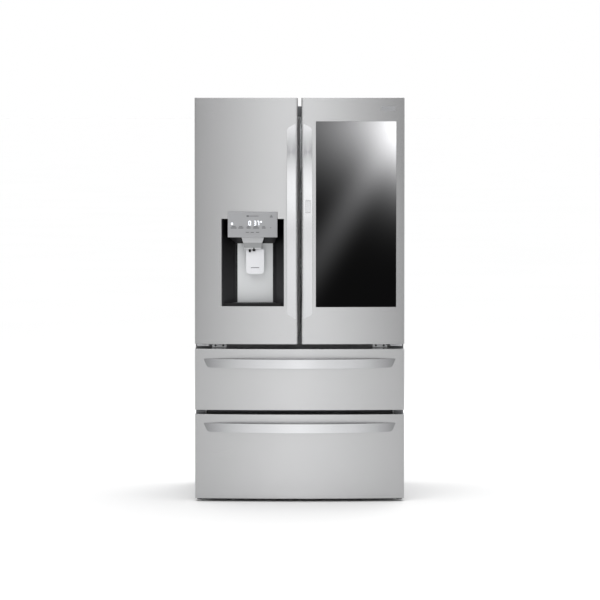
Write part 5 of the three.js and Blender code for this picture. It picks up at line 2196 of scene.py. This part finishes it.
    def rear_cover(self) -> None:
        """Slotted cover of the machine bay with stand-off ribs and screws."""
        back = self.back + GAP
        cover = box("rear_cover_plate", (-0.412, 0.412), (back, back + 0.003), (0.050, 0.285))
        round_edges(cover, 0.006, 4, along(1))
        slot = round_edges(
            box("cut", (-0.369, -0.363), (back - 0.01, back + 0.01), (0.078, 0.122)), 0.0025, 3, along(1)
        )
        row(slot, 31, (0.0243, 0, 0))
        row(slot, 3, (0, 0, 0.067))
        drop_faces(slot, lambda c, n: abs(c.x - 0.2) < 0.036 and abs(c.z - 0.167) < 0.030)
        carve(cover, slot)
        for place in (-0.396, 0.396):
            rib = box("rib", (place - 0.008, place + 0.008), (back + 0.002, 0.4605), (0.070, 0.265))
            fuse(cover, round_edges(rib, 0.003, 3, lambda c, d: c.y > 0.46))
        dress(cover, CASE_GREY, self.body, ["rear_cover"])
        first = screw("rear_cover_screws", 1, (-0.405, back + 0.003, 0.279), 0.0040)
        moves = [(x, 0, z) for x in (0, 0.27, 0.54, 0.81) for z in (0, -0.223)][1:]
        dress(scatter(first, moves), ZINC, self.body)


@dataclass
class MachineBay:
    """Compressor, condenser coil, fan and fan motor behind the rear cover."""

    body: str = "cabinet"
    fan_x: float = 0.200
    fan_z: float = 0.168

    def build(self) -> None:
        """Build every piece of the machine bay."""
        self.compressor()
        self.coil()
        self.motor()
        self.fan()

    def compressor(self) -> None:
        """Hermetic pot with its seam, terminal box, feet, plate and pipe."""
        x, y = -0.210, 0.345
        pot = rod("compressor_pot", Axis.Z, (x, y, 0.151), 0.086, 0.154, 48)
        round_edges(pot, 0.050, 7, lambda c, d: c.z > 0.227)
        round_edges(pot, 0.016, 4, lambda c, d: c.z < 0.075)
        seam = rod("seam", Axis.Z, (x, y, 0.150), 0.0885, 0.005, 48)
        lid = box("lid", (x + 0.052, x + 0.094), (y - 0.028, y + 0.028), (0.130, 0.182))
        plate = box("plate", (-0.330, -0.090), (0.262, 0.428), (0.0603, 0.066))
        fuse(pot, seam, lid, box("cradle", (-0.290, -0.130), (0.290, 0.400), (0.0790, 0.0881)))
        fuse(pot, rod("pipe", Axis.Z, (-0.150, 0.300, 0.160), 0.006, 0.180, 16))
        soften(pot, 0.002, 2, 50)
        feet = [rod("foot", Axis.Z, (fx, fy, 0.0725), 0.014, 0.0130, 24) for fx in (-0.290, -0.130) for fy in (0.290, 0.400)]
        dress(gather(pot, soften(plate, 0.001, 2), *feet), BLACK_METAL, self.body, ["compressor"])

    def coil(self) -> None:
        """Condenser: upright fins on a level serpentine tube."""
        fin = box("condenser_fins", (0.095, 0.0956), (0.262, 0.352), (0.078, 0.258))
        row(fin, 36, (0.006, 0, 0))
        dress(fin, ZINC, self.body)
        runs = []
        for column in (0.285, 0.329):
            for level in range(5):
                runs.append(rod("run", Axis.X, (0.2, column, 0.096 + 0.036 * level), 0.0036, 0.250, 12))
            for level in range(4):
                rest()
                side = 0.325 if level % 2 else 0.075
                bpy.ops.mesh.primitive_torus_add(
                    major_radius=0.018, minor_radius=0.0036, major_segments=24, minor_segments=12,
                    location=(side, column, 0.114 + 0.036 * level), rotation=(math.pi / 2, 0, 0),
                )
                bend = named("bend")
                half = (side - 0.03, side) if level % 2 else (side, side + 0.03)
                runs.append(carve(bend, box("cut", half, (column - 0.01, column + 0.01), (0.05, 0.30))))
        tube = gather(*runs)
        tube.name = tube.data.name = "condenser_tube"
        dress(tube, BLACK_METAL, self.body)

    def motor(self) -> None:
        """Fan motor on the rear cover with its shaft."""
        motor = rod("fan_motor", Axis.Y, (self.fan_x, 0.428, self.fan_z), 0.028, 0.0480, 40)
        round_edges(motor, 0.005, 3, lambda c, d: c.y < 0.405)
        for turn in (-1, 1):
            fuse(
                motor, box(
                    "lug", grow((self.fan_x + turn * 0.030,) * 2, 0.008), (0.446, 0.4518), grow(
                        (self.fan_z,) * 2, 0.008
                    )
                )
            )
        fuse(motor, rod("shaft", Axis.Y, (self.fan_x, 0.3860, self.fan_z), 0.004, 0.040, 20))
        dress(motor, BLACK_METAL, self.body)

    def fan(self) -> None:
        """Five-bladed fan with a domed hub."""
        x, z = self.fan_x, self.fan_z
        hub = rod("condenser_fan_rotor", Axis.Y, (x, 0.384, z), 0.022, 0.024, 40)
        round_edges(hub, 0.007, 4, lambda c, d: c.y < 0.373)
        blade = box("blade", (x + 0.018, x + 0.084), (0.3828, 0.3850), (z - 0.022, z + 0.022))
        round_edges(blade, 0.012, 5, lambda c, d: abs(d.y) > 0.9 and c.x > x + 0.08)
        places = [0.018, 0.034, 0.050, 0.066]
        slice_at(blade, [x + p for p in places[1:]], Axis.X)
        for near, far, angle in (
            (0.0, 0.026, 0.50), (0.026, 0.042, 0.44), (0.042, 0.058, 0.38), (0.058, 0.09, 0.32)
        ):
            pick(blade, Part.VERTS, lambda c, n, a=near, b=far: a <= c.x - x < b)
            bpy.ops.transform.rotate(value=angle, orient_axis="X", center_override=(x, 0.384, z))
            rest()
        for step in range(5):
            vane = twin(blade, "vane")
            take(vane)
            bpy.ops.transform.rotate(
                value=2 * math.pi * step / 5, orient_axis="Y", center_override=(x, 0.384, z)
            )
            bpy.ops.object.transform_apply(location=True, rotation=True, scale=True)
            fuse(hub, vane)
        bpy.data.objects.remove(blade)
        carve(hub, rod("cut", Axis.Y, (x, 0.384, z), 0.0043, 0.04, 20))
        dress(hub, BLACK_PLASTIC, "fan", ["condenser_fan"])


NODE_FINISHES = {
    FOAM: ["cabinet_foam"],
    LINER: ["outer_door_liner", "middle_drawer_core", "lower_drawer_core"],
}


def paint_nodes() -> None:
    """Give every frame node that stays its finish."""
    for finish, nodes in NODE_FINISHES.items():
        for node in nodes:
            paint_node(node, finish)


# ---------------------------------------------------------------- studio


@dataclass
class Studio:
    """Pale floor, soft light and the camera."""

    distance: float = 16.0
    eye: float = 1.75
    pitch: float = math.radians(3.130)
    focal_pixels: float = 3700.9
    picture: float = 600.0
    sensor: float = 36.0
    top: float = 1.5
    across: tuple[Range, ...] = (
        (0.0, 0.35), (0.15, 0.35), (0.30, 0.45), (0.385, 0.52), (0.445, 0.95), (0.50, 1.75),
        (0.555, 0.90), (0.63, 0.38), (0.80, 0.35), (1.0, 0.35),
    )
    upwards: tuple[Range, ...] = ((0.0, 1.0), (0.29, 1.0), (0.37, 0.42), (0.46, 0.42), (0.52, 1.0))

    def build(self) -> None:
        """Build the studio."""
        bpy.context.scene.view_settings.view_transform = "Standard"
        self.floor()
        self.world()
        self.light("key_softbox", (-2.6, -4.6, 4.6), (math.radians(48), 0, math.radians(-28)), (3.2, 2.6), 55)
        self.light("fill_softbox", (3.4, -4.2, 3.2), (math.radians(58), 0, math.radians(38)), (2.4, 2.4), 15)
        self.light("rear_softbox", (1.5, 4.5, 4.0), (math.radians(-52), 0, math.radians(-15)), (3.0, 2.4), 60)
        self.camera()

    def floor(self) -> None:
        """Pale floor that runs to the horizon."""
        rest()
        bpy.ops.mesh.primitive_plane_add(size=600, location=(0, 0, 0))
        floor = bpy.context.object
        floor.name = "floor"
        sheet = Sheet("pale_floor")
        tone = sheet.mix(sheet.noise((0.6, 0.6, 0.6)), (0.90, 0.90, 0.90), (0.93, 0.93, 0.93))
        sheet.links.new(tone, sheet.surface.inputs["Base Color"])
        sheet.set(Roughness=0.9)
        floor.data.materials.append(sheet.material)

    def world(self) -> None:
        """Soft surround: white behind and above, a bright middle with dark flanks in front.

        The camera sees plain white.
        """
        world = bpy.data.worlds.new("studio_surround")
        bpy.context.scene.world = world
        world.use_nodes = True
        nodes, links = world.node_tree.nodes, world.node_tree.links
        split = nodes.new("ShaderNodeSeparateXYZ")
        links.new(nodes.new("ShaderNodeTexCoord").outputs["Generated"], split.inputs[0])

        def curve(axis: str, low: float, stops: Sequence[Range]) -> bpy.types.NodeSocket:
            """Light against one direction axis, from low to 1.

            Args:
                axis: X, Y or Z.
                low: Where the first stop lies.
                stops: Places from 0 to 1 and their light.

            Returns:
                The light.
            """
            spread = nodes.new("ShaderNodeMapRange")
            spread.inputs["From Min"].default_value = low
            links.new(split.outputs[axis], spread.inputs["Value"])
            ramp = nodes.new("ShaderNodeValToRGB")
            links.new(spread.outputs[0], ramp.inputs[0])
            for index, (spot, light) in enumerate(stops):
                element = ramp.color_ramp.elements[index] if index < 2 else ramp.color_ramp.elements.new(spot)
                element.position = spot
                element.color = (light, light, light, 1.0)
            return ramp.outputs[0]

        def blend(kind: str, amount: object, first: object, second: object) -> bpy.types.NodeSocket:
            """Blend two colours.

            Args:
                kind: The blend.
                amount: Share of the second.
                first: A colour.
                second: A colour.

            Returns:
                The colour.
            """
            node = nodes.new("ShaderNodeMix")
            node.data_type, node.blend_type = "RGBA", kind
            for index, value in ((0, amount), (6, first), (7, second)):
                if isinstance(value, bpy.types.NodeSocket):
                    links.new(value, node.inputs[index])
                else:
                    node.inputs[index].default_value = value
            return node.outputs[2]

        ahead = blend("MULTIPLY", 1.0, curve("X", -1.0, self.across), curve("Z", 0.0, self.upwards))
        behind = blend("MIX", curve("Y", -1.0, ((0.34, 0.0), (0.52, 1.0))), ahead, (1.0, 1.0, 1.0, 1.0))
        overhead = blend(
            "MIX", curve("Z", 0.0, ((0.62, 0.0), (0.85, 1.0))), behind, (self.top, self.top, self.top, 1.0)
        )
        seen = blend(
            "MIX", nodes.new("ShaderNodeLightPath").outputs["Is Camera Ray"], overhead, (1.0, 1.0, 1.0, 1.0)
        )
        links.new(seen, nodes["Background"].inputs["Color"])

    def light(
        self, name: str, place: Sequence[float], turn: Sequence[float], size: Sequence[float], power: float
    ) -> None:
        """Add one soft area light.

        Args:
            name: Its name.
            place: Where it hangs.
            turn: Its angles, in radians.
            size: Width and height.
            power: Watts.
        """
        data = bpy.data.lights.new(name, "AREA")
        data.shape, data.size, data.size_y, data.energy = "RECTANGLE", size[0], size[1], power
        lamp = bpy.data.objects.new(name, data)
        lamp.location, lamp.rotation_euler = tuple(place), tuple(turn)
        bpy.context.scene.collection.objects.link(lamp)

    def camera(self) -> None:
        """Long lens at the height of the door tops, tilted down a little."""
        data = bpy.data.cameras.new("camera")
        data.sensor_width = self.sensor
        data.lens = self.focal_pixels * self.sensor / self.picture
        data.clip_start, data.clip_end = 0.1, 1000
        camera = bpy.data.objects.new("camera", data)
        camera.location = (0.0017, ARC.depth(ARC.half) - self.distance, self.eye)
        camera.rotation_euler = (math.pi / 2 - self.pitch, 0, 0)
        bpy.context.scene.collection.objects.link(camera)
        bpy.context.scene.camera = camera


def main() -> None:
    """Build the refrigerator, one sub-assembly after another."""
    logging.basicConfig(level=logging.INFO, format="%(message)s")
    paint_nodes()
    Cabinet().build()
    MachineBay().build()
    FridgeInterior().build()
    FreezerInterior().build()
    LeftDoor().build()
    LeftDoorInside().build()
    InnerDoor().build()
    OuterDoor().build()
    for name in ("middle", "lower"):
        Drawer(name).build()
        drawer_inside(name)
    Studio().build()


if __name__ == "__main__":
    main()
